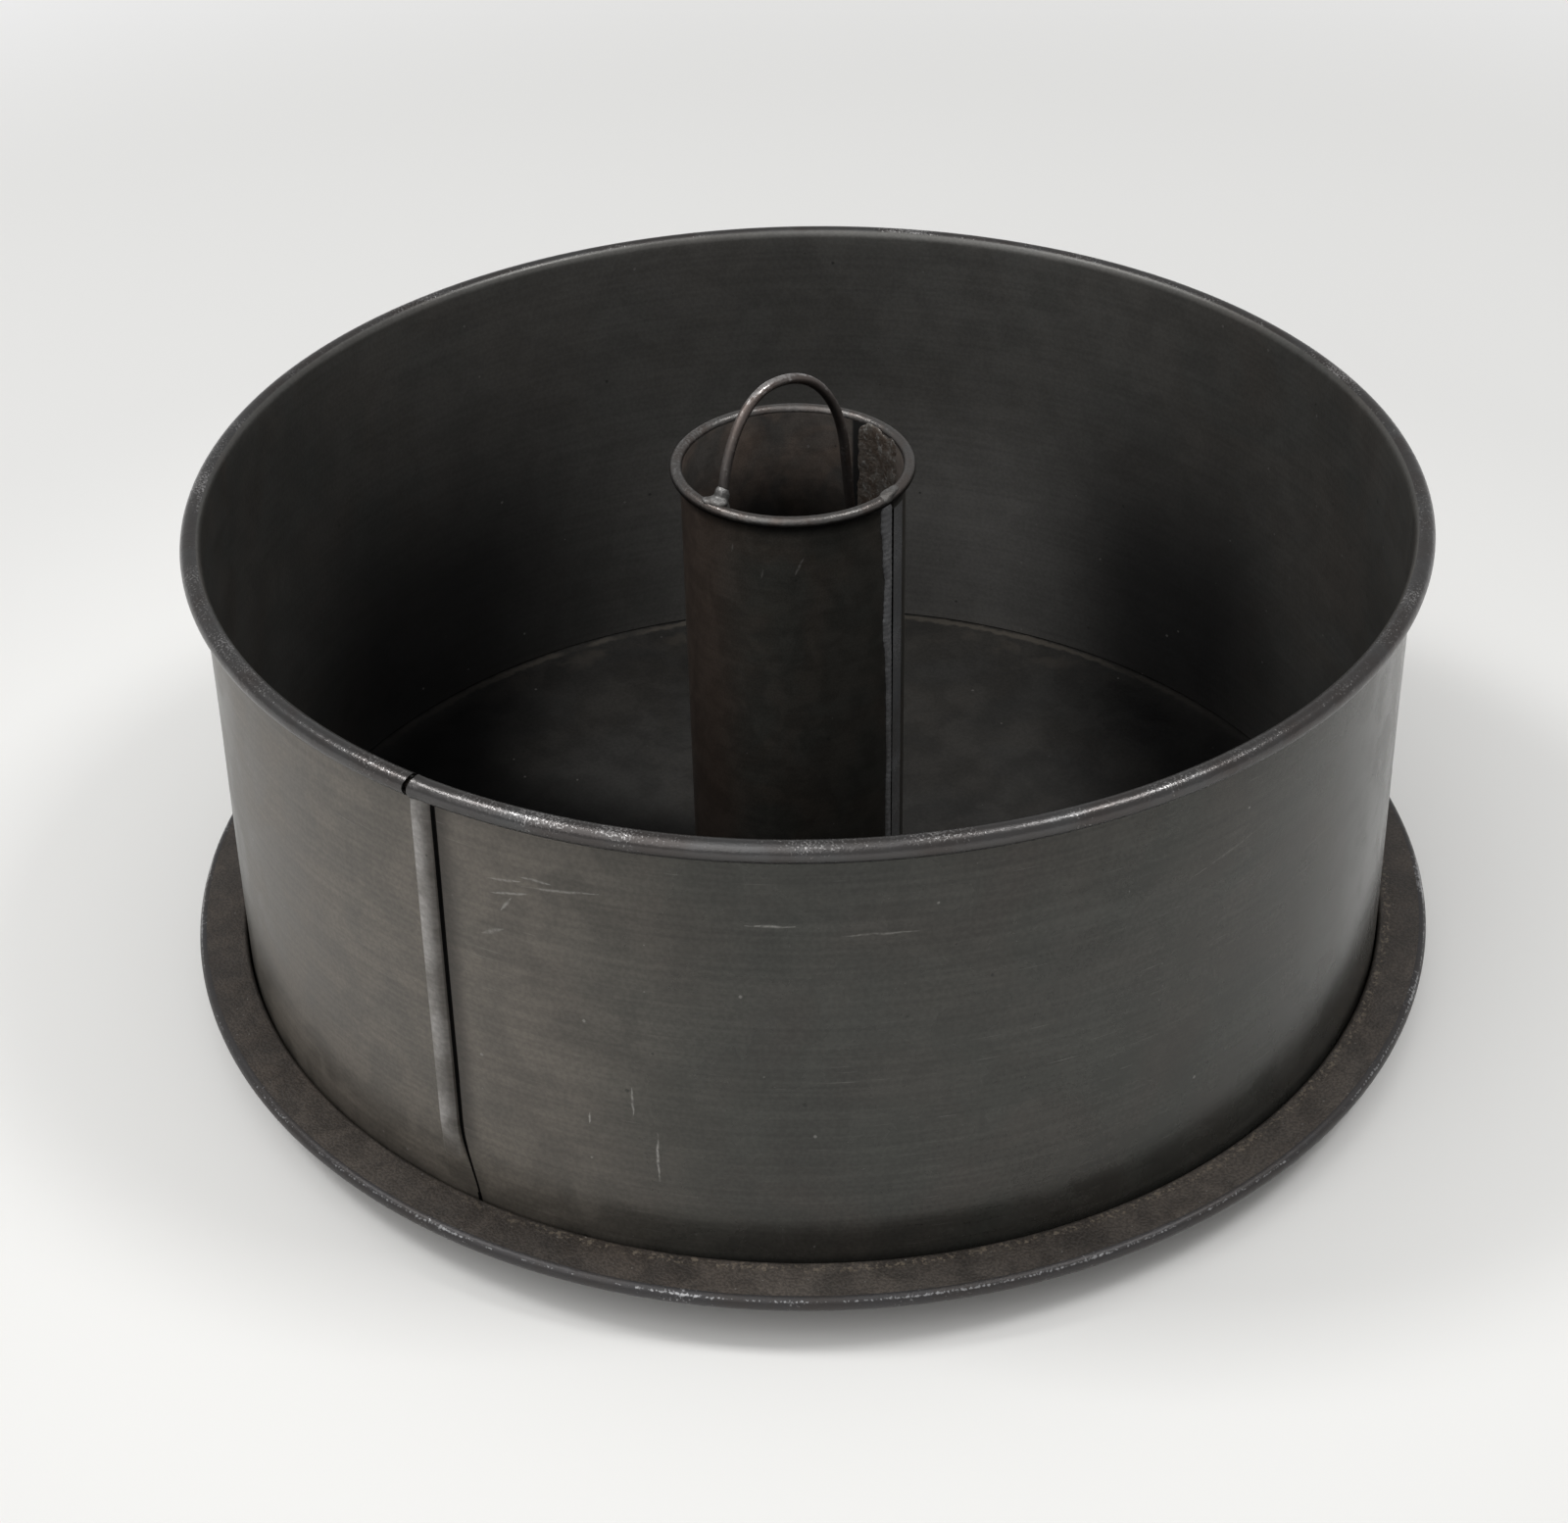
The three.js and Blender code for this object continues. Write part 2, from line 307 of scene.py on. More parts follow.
class Effects:
    """Shader groups that several finishes share. Each is built once."""

    def __init__(self) -> None:
        """Builds every group."""
        self.unrolled = self.unrolled_sheet()
        self.clouds = self.baked_clouds()
        self.hairlines = self.hairline_scratches()
        self.specks = self.loose_specks()
        self.stroke = self.placed_stroke()
        self.ring = self.ragged_ring()

    def start(self, name: str, vectors: Iterable[str], values: Iterable[str], made: Iterable[str] = ("Mask",),
              kind: SocketKind = SocketKind.VALUE,
              ) -> tuple[Graph, bpy.types.NodeOutputs, bpy.types.NodeInputs]:
        """Starts a shader group.

        Args:
            name: The group's name.
            vectors: Names of the inputs that take vectors.
            values: Names of the inputs that take numbers.
            made: Names of the outputs.
            kind: What the outputs give.

        Returns:
            The graph, the sockets that give the inputs and the sockets that take the outputs.
        """
        sockets = [(label, "INPUT", SocketKind.VECTOR) for label in vectors]
        sockets += [(label, "INPUT", SocketKind.VALUE) for label in values]
        sockets += [(label, "OUTPUT", kind) for label in made]
        tree = bpy.data.node_groups.new(name, "ShaderNodeTree")
        for label, side, taken in sockets:
            tree.interface.new_socket(label, in_out=side, socket_type=taken.value)
        graph = Graph(tree)
        return graph, graph.add("NodeGroupInput", {}).outputs, graph.add("NodeGroupOutput", {}).inputs

    def unrolled_sheet(self) -> bpy.types.NodeTree:
        """Group that lays a round wall out flat, as length along the sheet and height.

        Returns:
            The group.
        """
        graph, given, made = self.start(
            "unrolled sheet", ("Position",), ("Start", "Radius"), ("Flat",), SocketKind.VECTOR)
        parts = graph.add("ShaderNodeSeparateXYZ", {0: given["Position"]}).outputs
        bearing = graph.math("ARCTAN2", parts["Y"], parts["X"])
        past_start = graph.math("SUBTRACT", bearing, given["Start"])
        turn = graph.math("WRAP", past_start, 2 * math.pi, 0.0)
        along = graph.math("MULTIPLY", turn, given["Radius"])
        flat = graph.add("ShaderNodeCombineXYZ", {"X": along, "Y": parts["Z"]}).outputs[0]
        graph.feed(made["Flat"], flat)
        return graph.tree

    def baked_clouds(self) -> bpy.types.NodeTree:
        """Group with the clouds, the warm blotches, the mottle and the fine grain of a baked-on patina.

        Returns:
            The group.
        """
        labels = ("Broad", "Warm", "Mottle", "Grain")
        graph, given, made = self.start("baked clouds", ("Position",), ("Scale",), labels)
        settings = ((1.0, 4.0, 0.8, 0.2), (2.3, 6.0, 1.2, 0.17), (8.0, 5.0, 0.5, 0.17), (95.0, 3.0, 0.0, 0.2))
        for label, (fineness, detail, distortion, spread) in zip(labels, settings):
            moved = graph.vector("ADD", given["Position"], (fineness, 0.0, 0.0))
            scale = graph.math("MULTIPLY", given["Scale"], fineness)
            clouds = graph.noise(moved, scale, detail, distortion)
            graph.feed(made[label], graph.remap(clouds, 0.5 - spread, 0.5 + spread))
        return graph.tree

    def hairline_scratches(self) -> bpy.types.NodeTree:
        """Group with sparse hairline scratches, most of them along the sheet.

        Returns:
            The group.
        """
        graph, given, made = self.start("hairline scratches", ("Flat",), ("Share",))
        flat = given["Flat"]
        layers = (
            (math.radians(6), 45.0, 3200.0),
            (math.radians(-17), 75.0, 4200.0),
            (math.radians(83), 90.0, 3600.0),
            (math.radians(38), 110.0, 4600.0),
        )
        rarest, commonest, softness = 0.86, 0.62, 0.07
        patch_low, patch_high = 0.48, 0.66
        threshold = graph.remap(given["Share"], 0.0, 1.0, rarest, commonest)
        soft_end = graph.math("ADD", threshold, softness)
        total: Source = 0.0
        for turn, along, across in layers:
            lines = graph.noise(graph.place(flat, turn, (along, across, 1.0)), 1.0, detail=1.0)
            patch = graph.noise(graph.place(flat, turn, (1.0, 1.0, 1.0)), along / 2, detail=2.0)
            shown = graph.remap(patch, patch_low, patch_high)
            mask = graph.math("MULTIPLY", graph.remap(lines, threshold, soft_end), shown)
            total = graph.math("ADD", total, mask, clamp=True)
        graph.feed(made["Mask"], total)
        return graph.tree

    def loose_specks(self) -> bpy.types.NodeTree:
        """Group with small round specks of uneven size.

        Returns:
            The group.
        """
        graph, given, made = self.start("loose specks", ("Position",), ("Scale", "Share"))
        uneven_scale, uneven_reach = 2600.0, 0.35 * MM
        smallest, largest, core_share = 0.03, 0.13, 0.5
        uneven = graph.scaled(graph.noise(given["Position"], uneven_scale), uneven_reach)
        moved = graph.vector("ADD", given["Position"], uneven)
        cells = graph.add("ShaderNodeTexVoronoi", {"Vector": moved, "Scale": given["Scale"]})
        chances = graph.add("ShaderNodeSeparateColor", {0: cells.outputs["Color"]}).outputs
        kept = graph.math("LESS_THAN", chances[0], given["Share"])
        size = graph.remap(chances[1], 0.0, 1.0, smallest, largest)
        core = graph.math("MULTIPLY", size, core_share)
        round_mask = graph.remap(cells.outputs["Distance"], core, size, 1.0, 0.0)
        graph.feed(made["Mask"], graph.math("MULTIPLY", round_mask, kept))
        return graph.tree

    def placed_stroke(self) -> bpy.types.NodeTree:
        """Group with one tapered scratch between two places on the flat sheet.

        Returns:
            The group.
        """
        graph, given, made = self.start("placed stroke", ("Flat", "From", "To"), ("Width",))
        offset = graph.vector("SUBTRACT", given["Flat"], given["From"])
        run = graph.vector("SUBTRACT", given["To"], given["From"])
        along = graph.measure("DOT_PRODUCT", offset, run)
        length = graph.measure("DOT_PRODUCT", run, run)
        share = graph.math("DIVIDE", along, length, clamp=True)
        distance = graph.measure("DISTANCE", offset, graph.scaled(run, share))
        full_part, thin_end = 0.1, 0.35
        off_middle = graph.math("ABSOLUTE", graph.math("SUBTRACT", share, 0.5))
        taper = graph.remap(off_middle, full_part, 0.5, 1.0, thin_end)
        width = graph.math("MULTIPLY", given["Width"], taper)
        graph.feed(made["Mask"], graph.remap(distance, 0.0, width, 1.0, 0.0))
        return graph.tree

    def ragged_ring(self) -> bpy.types.NodeTree:
        """Group with one ragged ring round the pan's axis.

        Returns:
            The group.
        """
        values = ("Radius", "Width", "Gaps", "Patches", "Reach")
        graph, given, made = self.start("ragged ring", ("Position", "Side"), values)
        place = given["Position"]
        level = graph.vector("MULTIPLY", place, (1.0, 1.0, 0.0))
        away = graph.measure("LENGTH", level)
        ragged_scale, most_sway, core_share = 420.0, 5 * MM, 0.3
        gap_fade, side_fade = 0.12, 0.4
        ragged = graph.math("SUBTRACT", graph.noise(place, ragged_scale, detail=5.0), 0.5)
        sway = graph.math("MULTIPLY", ragged, graph.math("MINIMUM", given["Width"], most_sway))
        off_line = graph.math("SUBTRACT", away, given["Radius"])
        distance = graph.math("ABSOLUTE", graph.math("ADD", off_line, sway))
        half = graph.math("MULTIPLY", given["Width"], 0.5)
        band = graph.remap(distance, graph.math("MULTIPLY", half, core_share), half, 1.0, 0.0)
        patchy = graph.noise(place, given["Patches"], detail=6.0)
        gaps = given["Gaps"]
        broken = graph.remap(patchy, graph.math("SUBTRACT", gaps, gap_fade), gaps)
        toward = graph.measure("DOT_PRODUCT", level, given["Side"])
        share = graph.math("DIVIDE", toward, given["Radius"])
        reach = given["Reach"]
        on_side = graph.remap(share, graph.math("SUBTRACT", reach, side_fade), reach)
        whole = graph.math("MULTIPLY", band, broken)
        graph.feed(made["Mask"], graph.math("MULTIPLY", whole, on_side))
        return graph.tree


@dataclass(frozen=True)
class Stroke:
    """One scratch on a round wall, from one bearing and height to another."""

    start: Spot
    end: Spot
    width: float
    strength: float

    @classmethod
    def drawn(cls, row: Sequence[float]) -> "Stroke":
        """Reads a scratch from a row.

        Args:
            row: Bearing and height of both ends in degrees and mm, width in mm, and strength.

        Returns:
            The scratch.
        """
        start = (math.radians(row[0]), row[1] * MM)
        end = (math.radians(row[2]), row[3] * MM)
        return cls(start, end, row[4] * MM, row[5])


@dataclass(frozen=True)
class Ring:
    """One ragged ring of dirt, wear or painted shade round the pan's axis, or the part of it on one side."""

    radius: float
    width: float
    colour: Colour
    strength: float
    gaps: float = 0.3
    metal: float = 0.0
    patches: float = 95.0
    side: tuple[float, float, float] = (0.0, 0.0, 0.0)
    reach: float = -1.0

    def inputs(self, place: Source) -> dict[str, Source]:
        """What the shared ring group takes, at a place."""
        return {
            "Position": place, "Radius": self.radius, "Width": self.width, "Gaps": self.gaps,
            "Patches": self.patches, "Side": self.side, "Reach": self.reach,
        }


@dataclass(frozen=True)
class TintBand:
    """An upright band of a wall in another colour, which stands for baked patina, wear and dirt, and also for
    painted light and painted shade.

    It shows from its foot up, or below its foot where the fade is negative.
    """

    along: float
    core: float
    reach: float
    colour: Colour
    share: float
    dull: float = 0.0
    foot: float = -1.0
    fade: float = 12 * MM
    patchy: float = 0.0


@dataclass(frozen=True)
class Shade:
    """Change of a wall's lightness between two heights."""

    low: float
    high: float
    start: float
    end: float


@dataclass(frozen=True)
class SheetFinish:
    """Tinned sheet darkened by baking: clouded, scratched and specked, with painted light and painted shade
    in the bands and shades that it lists.
    """

    name: str
    tone: Colour
    warm: Colour
    pale: Colour
    bare: Colour = (0.4, 0.39, 0.37)
    metal: float = 0.55
    radius: float = 116 * MM
    centre: tuple[float, float, float] = (0.0, 0.0, 0.0)
    start: float = 0.0
    cloud_scale: float = 14.0
    warm_share: float = 0.6
    pale_share: float = 0.5
    mottle_depth: float = 0.1
    grain_depth: float = 0.11
    brush_depth: float = 0.06
    gloss: float = 0.3
    gloss_spread: float = 0.1
    scratch_share: float = 0.35
    scratch_strength: float = 0.2
    speck_share: float = 0.2
    speck_scale: float = 300.0
    speck_strength: float = 0.3
    bump: float = 0.03
    pit_fineness: float = 0.8
    pit_dirt: float = 0.7
    pit_tone: float = 0.4
    pit_depth: float = 0.8
    dull_gloss: float = 0.6
    brush_scale: tuple[float, float, float] = (22.0, 900.0, 1.0)
    brush_range: tuple[float, float] = (0.3, 0.7)
    sway_scale: float = 260.0
    sway: float = 0.9 * MM
    break_scale: float = 1100.0
    break_range: tuple[float, float, float, float] = (0.3, 0.6, 0.2, 1.0)
    shades: tuple[Shade, ...] = ()
    strokes: tuple[Stroke, ...] = ()
    rings: tuple[Ring, ...] = ()
    tint_bands: tuple[TintBand, ...] = ()

    def flat_place(self, spot: Spot) -> tuple[float, float, float]:
        """Place on the unrolled sheet of a bearing and a height."""
        turn = (spot[0] - self.start) % (2 * math.pi)
        return (turn * self.radius, spot[1], 0.0)

    def material(self, effects: Effects) -> bpy.types.Material:
        """Builds the finish.

        Args:
            effects: The shared shader groups.

        Returns:
            The material.
        """
        made, graph = new_material(self.name)
        place = graph.add("ShaderNodeTexCoord", {}).outputs["Object"]
        clouds = graph.group(effects.clouds, {"Position": place, "Scale": self.cloud_scale}).outputs
        pit_scale = self.speck_scale * self.pit_fineness
        pit_inputs = {"Position": place, "Scale": pit_scale, "Share": self.speck_share}
        pits = graph.group(effects.specks, pit_inputs).outputs[0]
        about = graph.vector("SUBTRACT", place, self.centre)
        sheet = {"Position": about, "Start": self.start, "Radius": self.radius}
        flat = graph.group(effects.unrolled, sheet).outputs["Flat"]
        wear = self.wear_mask(graph, effects, place, flat)
        colour, dull = self.patina(graph, clouds, flat)
        dirty = graph.math("MULTIPLY", pits, self.pit_dirt)
        colour = graph.mix(dirty, colour, rgba(scaled_colour(self.tone, self.pit_tone)))
        metal: Source = graph.blend(wear, graph.blend(dull, self.metal, 0.0), 1.0)
        for ring in self.rings:
            ragged = graph.group(effects.ring, ring.inputs(place)).outputs[0]
            shown = graph.math("MULTIPLY", ragged, ring.strength)
            colour = graph.mix(shown, colour, rgba(ring.colour))
            metal = graph.blend(shown, metal, ring.metal)
        colour = graph.mix(wear, colour, rgba(self.bare))
        cloudy = graph.blend(0.5, clouds["Broad"], clouds["Mottle"])
        least, most = self.gloss - self.gloss_spread / 2, self.gloss + self.gloss_spread / 2
        rough = graph.blend(dull, graph.remap(cloudy, 0.0, 1.0, least, most), self.dull_gloss)
        relief = graph.blend(0.5, clouds["Grain"], clouds["Mottle"])
        relief = graph.math("SUBTRACT", relief, graph.math("MULTIPLY", pits, self.pit_depth))
        normal = graph.relief(relief, self.bump)
        graph.dress({"Base Color": colour, "Roughness": rough, "Metallic": metal, "Normal": normal})
        return made

    def patina(self, graph: Graph, clouds: bpy.types.NodeOutputs, flat: Source) -> tuple[Source, Source]:
        """Patina of the sheet with painted light and painted shade from its bands and shades, before dirt and
        bare wear.

        Args:
            graph: The material's graph.
            clouds: Masks of the shared clouds.
            flat: Coordinates on the unrolled sheet.

        Returns:
            Its colour, and the share of the metal's shine that is lost.
        """
        warmer = graph.math("MULTIPLY", clouds["Warm"], self.warm_share)
        paler = graph.math("MULTIPLY", clouds["Broad"], self.pale_share)
        colour = graph.mix(paler, graph.mix(warmer, rgba(self.tone), rgba(self.warm)), rgba(self.pale))
        along, height, _ = graph.add("ShaderNodeSeparateXYZ", {0: flat}).outputs
        dull: Source = 0.0
        for tint_band in self.tint_bands:
            off_line = graph.math("SUBTRACT", along, tint_band.along)
            distance = graph.math("PINGPONG", off_line, math.pi * self.radius)
            across = graph.remap(distance, tint_band.core, tint_band.reach, tint_band.share, 0.0)
            upright = graph.remap(height, tint_band.foot, tint_band.foot + tint_band.fade)
            worn = graph.remap(clouds["Mottle"], 0.0, 1.0, 1 - tint_band.patchy, 1.0)
            shown = graph.math("MULTIPLY", graph.math("MULTIPLY", across, upright), worn)
            colour = graph.mix(shown, colour, rgba(tint_band.colour))
            dull = graph.math("MAXIMUM", dull, graph.math("MULTIPLY", shown, tint_band.dull))
        for shade in self.shades:
            colour = graph.scaled(colour, graph.remap(height, shade.low, shade.high, shade.start, shade.end))
        for mask, depth in (("Mottle", self.mottle_depth), ("Grain", self.grain_depth)):
            colour = graph.scaled(colour, graph.remap(clouds[mask], 0.0, 1.0, 1 - depth, 1 + depth))
        brushed = graph.noise(graph.place(flat, 0.0, self.brush_scale), 1.0, detail=3.0)
        lines = graph.remap(brushed, *self.brush_range, 1 - self.brush_depth, 1 + self.brush_depth)
        return graph.scaled(colour, lines), dull

    def wear_mask(self, graph: Graph, effects: Effects, place: Source, flat: Source) -> Source:
        """Mask of bare metal: hairlines, bright specks and the placed scratches.

        Args:
            graph: The material's graph.
            effects: The shared shader groups.
            place: Coordinates on the piece.
            flat: Coordinates on the unrolled sheet.

        Returns:
            The mask's socket.
        """
        lines = graph.group(effects.hairlines, {"Flat": flat, "Share": self.scratch_share}).outputs[0]
        speck_inputs = {"Position": place, "Scale": self.speck_scale, "Share": self.speck_share}
        specks = graph.group(effects.specks, speck_inputs).outputs[0]
        wear: Source = graph.math("MULTIPLY", lines, self.scratch_strength)
        wear = graph.math("MAXIMUM", wear, graph.math("MULTIPLY", specks, self.speck_strength))
        if not self.strokes:
            return wear
        wobble = graph.math("SUBTRACT", graph.noise(flat, self.sway_scale), 0.5)
        swayed = graph.vector("ADD", flat, graph.math("MULTIPLY", wobble, self.sway))
        drawn: Source = 0.0
        for stroke in self.strokes:
            inputs = {
                "Flat": swayed,
                "From": self.flat_place(stroke.start),
                "To": self.flat_place(stroke.end),
                "Width": stroke.width,
            }
            mask = graph.math("MULTIPLY", graph.group(effects.stroke, inputs).outputs[0], stroke.strength)
            drawn = graph.math("MAXIMUM", drawn, mask)
        broken = graph.remap(graph.noise(flat, self.break_scale), *self.break_range)
        return graph.math("MAXIMUM", wear, graph.math("MULTIPLY", drawn, broken))


@dataclass(frozen=True)
class WornMetalFinish:
    """Bare metal that handling has kept half bright: wired edges, wires and solder. Crests take wear with a
    painted highlight, and faces that look down can take painted shade.
    """

    name: str
    dark: Colour
    bright: Colour
    stain: Colour
    rub_scale: float = 60.0
    fleck_scale: float = 1700.0
    wear_low: float = 0.58
    wear_high: float = 0.7
    crest: float = 0.9
    crest_spread: float = 0.5
    crest_wear_and_sheen: float = 0.1
    # Darkening of faces that look down: painted shade on undersides.
    under: float = 1.0
    stain_share: float = 0.5
    stain_scale: float = 25.0
    gloss_dark: float = 0.36
    gloss_bright: float = 0.24
    metal: float = 0.95
    pit_scale: float = 650.0
    pit_share: float = 0.6
    pit_wear: float = 0.8
    pit_dirt: float = 0.6
    pit_tone: float = 0.4
    under_range: tuple[float, float] = (-0.6, 0.2)
    bump: float = 0.12

    def material(self, effects: Effects) -> bpy.types.Material:
        """Builds the finish.

        Args:
            effects: The shared shader groups.

        Returns:
            The material.
        """
        made, graph = new_material(self.name)
        coordinates = graph.add("ShaderNodeTexCoord", {}).outputs
        place = coordinates["Object"]
        rise = graph.add("ShaderNodeSeparateXYZ", {0: coordinates["Normal"]}).outputs["Z"]
        clouds = graph.group(effects.clouds, {"Position": place, "Scale": self.stain_scale}).outputs
        pit_inputs = {"Position": place, "Scale": self.pit_scale, "Share": self.pit_share}
        pits = graph.group(effects.specks, pit_inputs).outputs[0]
        rub = graph.noise(place, self.rub_scale, detail=4.0)
        flecks = graph.noise(place, self.fleck_scale, detail=3.0)
        handled = graph.blend(0.5, rub, flecks)
        # Crests take extra wear, which also stands as a painted highlight along the top.
        off_crest = graph.math("ABSOLUTE", graph.math("SUBTRACT", rise, self.crest))
        on_crest = graph.remap(off_crest, 0.0, self.crest_spread, self.crest_wear_and_sheen, 0.0)
        handled = graph.math("ADD", handled, on_crest)
        wear = graph.remap(handled, self.wear_low, self.wear_high)
        wear = graph.math("SUBTRACT", wear, graph.math("MULTIPLY", pits, self.pit_wear), clamp=True)
        stained = graph.math("MULTIPLY", clouds["Warm"], self.stain_share)
        colour = graph.mix(stained, rgba(self.dark), rgba(self.stain))
        dirty = graph.math("MULTIPLY", pits, self.pit_dirt)
        colour = graph.mix(dirty, colour, rgba(scaled_colour(self.dark, self.pit_tone)))
        colour = graph.mix(wear, colour, rgba(self.bright))
        # Painted shade: faces that look down are darker.
        colour = graph.scaled(colour, graph.remap(rise, *self.under_range, self.under, 1.0))
        rough = graph.blend(wear, self.gloss_dark, self.gloss_bright)
        relief = graph.math("SUBTRACT", graph.blend(0.5, clouds["Mottle"], flecks), pits)
        normal = graph.relief(relief, self.bump)
        graph.dress({"Base Color": colour, "Roughness": rough, "Metallic": self.metal, "Normal": normal})
        return made


class Finishes:
    """Every finish of the pan, built once."""

    def __init__(self, effects: Effects, hoop: "SideHoop", base: "BaseDish", tube: "CentreTube") -> None:
        """Builds the materials.

        Args:
            effects: The shared shader groups.
            hoop: The hoop, whose seam is where its sheet starts.
            base: The base, whose flange and floor have rings of dirt, wear and painted shade.
            tube: The tube, whose lap is where its sheet starts.
        """
        seam_half = hoop.seam_width / 2
        wall_foot = hoop.inner(hoop.seat)
        back, front = (-0.67, 0.74, 0.0), (0.43, -0.9, 0.0)
        left, right = (-0.74, -0.67, 0.0), (0.74, 0.67, 0.0)
        on_tube = tuple(tube.axis)
        painted_floor_shade = (0.002, 0.002, 0.0024)
        self.wall_outside = SheetFinish(
            "hoop outside", (0.041, 0.0415, 0.0365), (0.052, 0.0435, 0.038), (0.05, 0.0505, 0.046),
            start=hoop.seam_bearing, gloss=0.26, strokes=hoop.scuffs, warm_share=0.45, mottle_depth=0.07,
            grain_depth=0.1, brush_depth=0.11, scratch_share=0.55, scratch_strength=0.28, speck_share=0.2,
            bump=0.015,
            tint_bands=(
                # Lighter, warmer band left of the seam, also less metallic: partly lighter patina, partly a
                # painted broad reflection of light from the left.
                TintBand(-22 * MM, 26 * MM, 84 * MM, (0.12, 0.104, 0.086), 0.75, dull=0.6, patchy=0.2),
                TintBand(0.0, 1.6 * MM, 2.1 * MM, (0.28, 0.27, 0.26), 0.85, 0.3, 18 * MM, patchy=0.65),
                # Thin light line along the seam's crease: a painted highlight on the fold's edge, partly
                # wear.
                TintBand(-seam_half - 0.2 * MM, 0.15 * MM, 0.5 * MM, (0.34, 0.33, 0.32), 0.8, foot=18 * MM),
                # Dark band right of the seam gap: dirt beside the fold and painted shade.
                TintBand(seam_half + hoop.gap_width, 0.6 * MM, 4.5 * MM, (0.026, 0.021, 0.016), 0.8,
                      foot=18 * MM),
            ),
        ).material(effects)
        self.wall_inside = SheetFinish(
            "hoop inside", (0.062, 0.062, 0.058), (0.074, 0.064, 0.056), (0.105, 0.103, 0.097),
            metal=0.35, start=hoop.seam_bearing, gloss=0.36, scratch_strength=0.06, grain_depth=0.07,
            # Painted shade: the inside of the hoop is darker towards the bottom.
            mottle_depth=0.05, pale_share=0.35, shades=(Shade(5 * MM, 60 * MM, 0.75, 1.0),),
            tint_bands=(
                # Painted light: lighter bands on the back of the inside, the lower one lighter towards the
                # bottom.
                TintBand(434 * MM, 40 * MM, 150 * MM, (0.12, 0.117, 0.11), 0.6),
                TintBand(405 * MM, 20 * MM, 95 * MM, (0.22, 0.215, 0.205), 0.8, foot=72 * MM, fade=-50 * MM),
                # Painted shade: dark bands at the left-back and right-back of the inside, darker towards the
                # bottom.
                TintBand(532 * MM, 10 * MM, 74 * MM, (0.005, 0.005, 0.006), 0.88, foot=95 * MM, fade=-70 * MM),
                TintBand(337 * MM, 8 * MM, 52 * MM, (0.006, 0.006, 0.007), 0.86, foot=85 * MM, fade=-60 * MM),
            ),
        ).material(effects)
        self.hoop_bead = WornMetalFinish(
            "hoop wired edge", (0.098, 0.097, 0.097), (0.42, 0.41, 0.405), (0.07, 0.056, 0.05),
            # Painted shade on the bead's underside; the crest wear also stands for a painted highlight.
            fleck_scale=2600.0, crest_wear_and_sheen=0.05, under=0.3, wear_high=0.72, gloss_dark=0.28,
        ).material(effects)
        # Painted shade: near-black for the seam's gap on the hoop and the lines at the tube's lap edges.
        self.gap_shade = SheetFinish(
            "painted shade in gaps", (0.004, 0.004, 0.004), (0.006, 0.005, 0.004), (0.007, 0.006, 0.005),
            metal=0.9, gloss=0.8, scratch_strength=0.0, speck_share=0.0,
        ).material(effects)
        self.flange = SheetFinish(
            "base flange", (0.039, 0.0325, 0.0275), (0.053, 0.0405, 0.0315), (0.066, 0.0565, 0.048),
            metal=0.2, gloss=0.58, scratch_strength=0.06, speck_share=0.7, speck_scale=620.0,
            cloud_scale=20.0, mottle_depth=0.2, grain_depth=0.24, bump=0.2,
            rings=(
                # Painted shade in the crevice where the hoop's wall meets the flange.
                Ring(base.inside + 0.3 * MM, 1.1 * MM, (0.014, 0.012, 0.01), 0.45),
                Ring(base.inside + 1.6 * MM, 2.4 * MM, (0.17, 0.14, 0.105), 0.6, gaps=0.63, patches=1300.0,
                     side=(1.0, 0.0, 0.0), reach=0.4),
            ),
        ).material(effects)
        self.floor = SheetFinish(
            "base floor", (0.027, 0.0264, 0.025), (0.037, 0.033, 0.028), (0.042, 0.04, 0.0365),
            metal=0.35, gloss=0.46, scratch_strength=0.06,
            rings=(
                Ring(wall_foot - 1.4 * MM, 2.8 * MM, (0.15, 0.13, 0.105), 0.4, 0.46, patches=36.0,
                     side=back, reach=0.8),
                Ring(wall_foot - 7.0 * MM, 9.0 * MM, (0.07, 0.06, 0.048), 0.4, 0.58, side=back, reach=0.95),
                # Painted shade on the floor: dark at its left, right and front, where the hoop's walls keep
                # light off it.
                Ring(85 * MM, 130 * MM, painted_floor_shade, 0.9, 0.05, 0.9, side=left, reach=0.95),
                Ring(85 * MM, 130 * MM, painted_floor_shade, 0.8, 0.05, 0.9, side=right, reach=1.0),
                Ring(50 * MM, 160 * MM, painted_floor_shade, 0.72, 0.05, 0.9, side=front, reach=-0.25),
            ),
        ).material(effects)
        self.base_edge = WornMetalFinish(
            "base wired edge", (0.045, 0.043, 0.044), (0.34, 0.34, 0.345), (0.045, 0.037, 0.032),
            # The crest wear also stands for a painted highlight along the edge.
            metal=0.55, fleck_scale=1800.0, crest=0.72, crest_spread=0.2, crest_wear_and_sheen=0.11,
            gloss_dark=0.42,
        ).material(effects)
        self.tube_outside = SheetFinish(
            "tube outside", (0.054, 0.053, 0.047), (0.076, 0.06, 0.049), (0.066, 0.064, 0.057),
            metal=0.35, radius=tube.outer, centre=on_tube, start=tube.lap_start, gloss=0.38,
            cloud_scale=30.0, strokes=tube.scuffs,
            # Painted shade: the tube is darker towards its foot, and darker in a band just under its bead.
            shades=(Shade(0.0, 80 * MM, 0.5, 1.0), Shade(101.8 * MM, 104 * MM, 1.0, 0.3)),
            tint_bands=(
                TintBand(-45 * MM, 4 * MM, 16 * MM, (0.068, 0.047, 0.037), 0.7),
                TintBand(-9 * MM, 4 * MM, 20 * MM, (0.026, 0.025, 0.022), 0.45),
            ),
        ).material(effects)
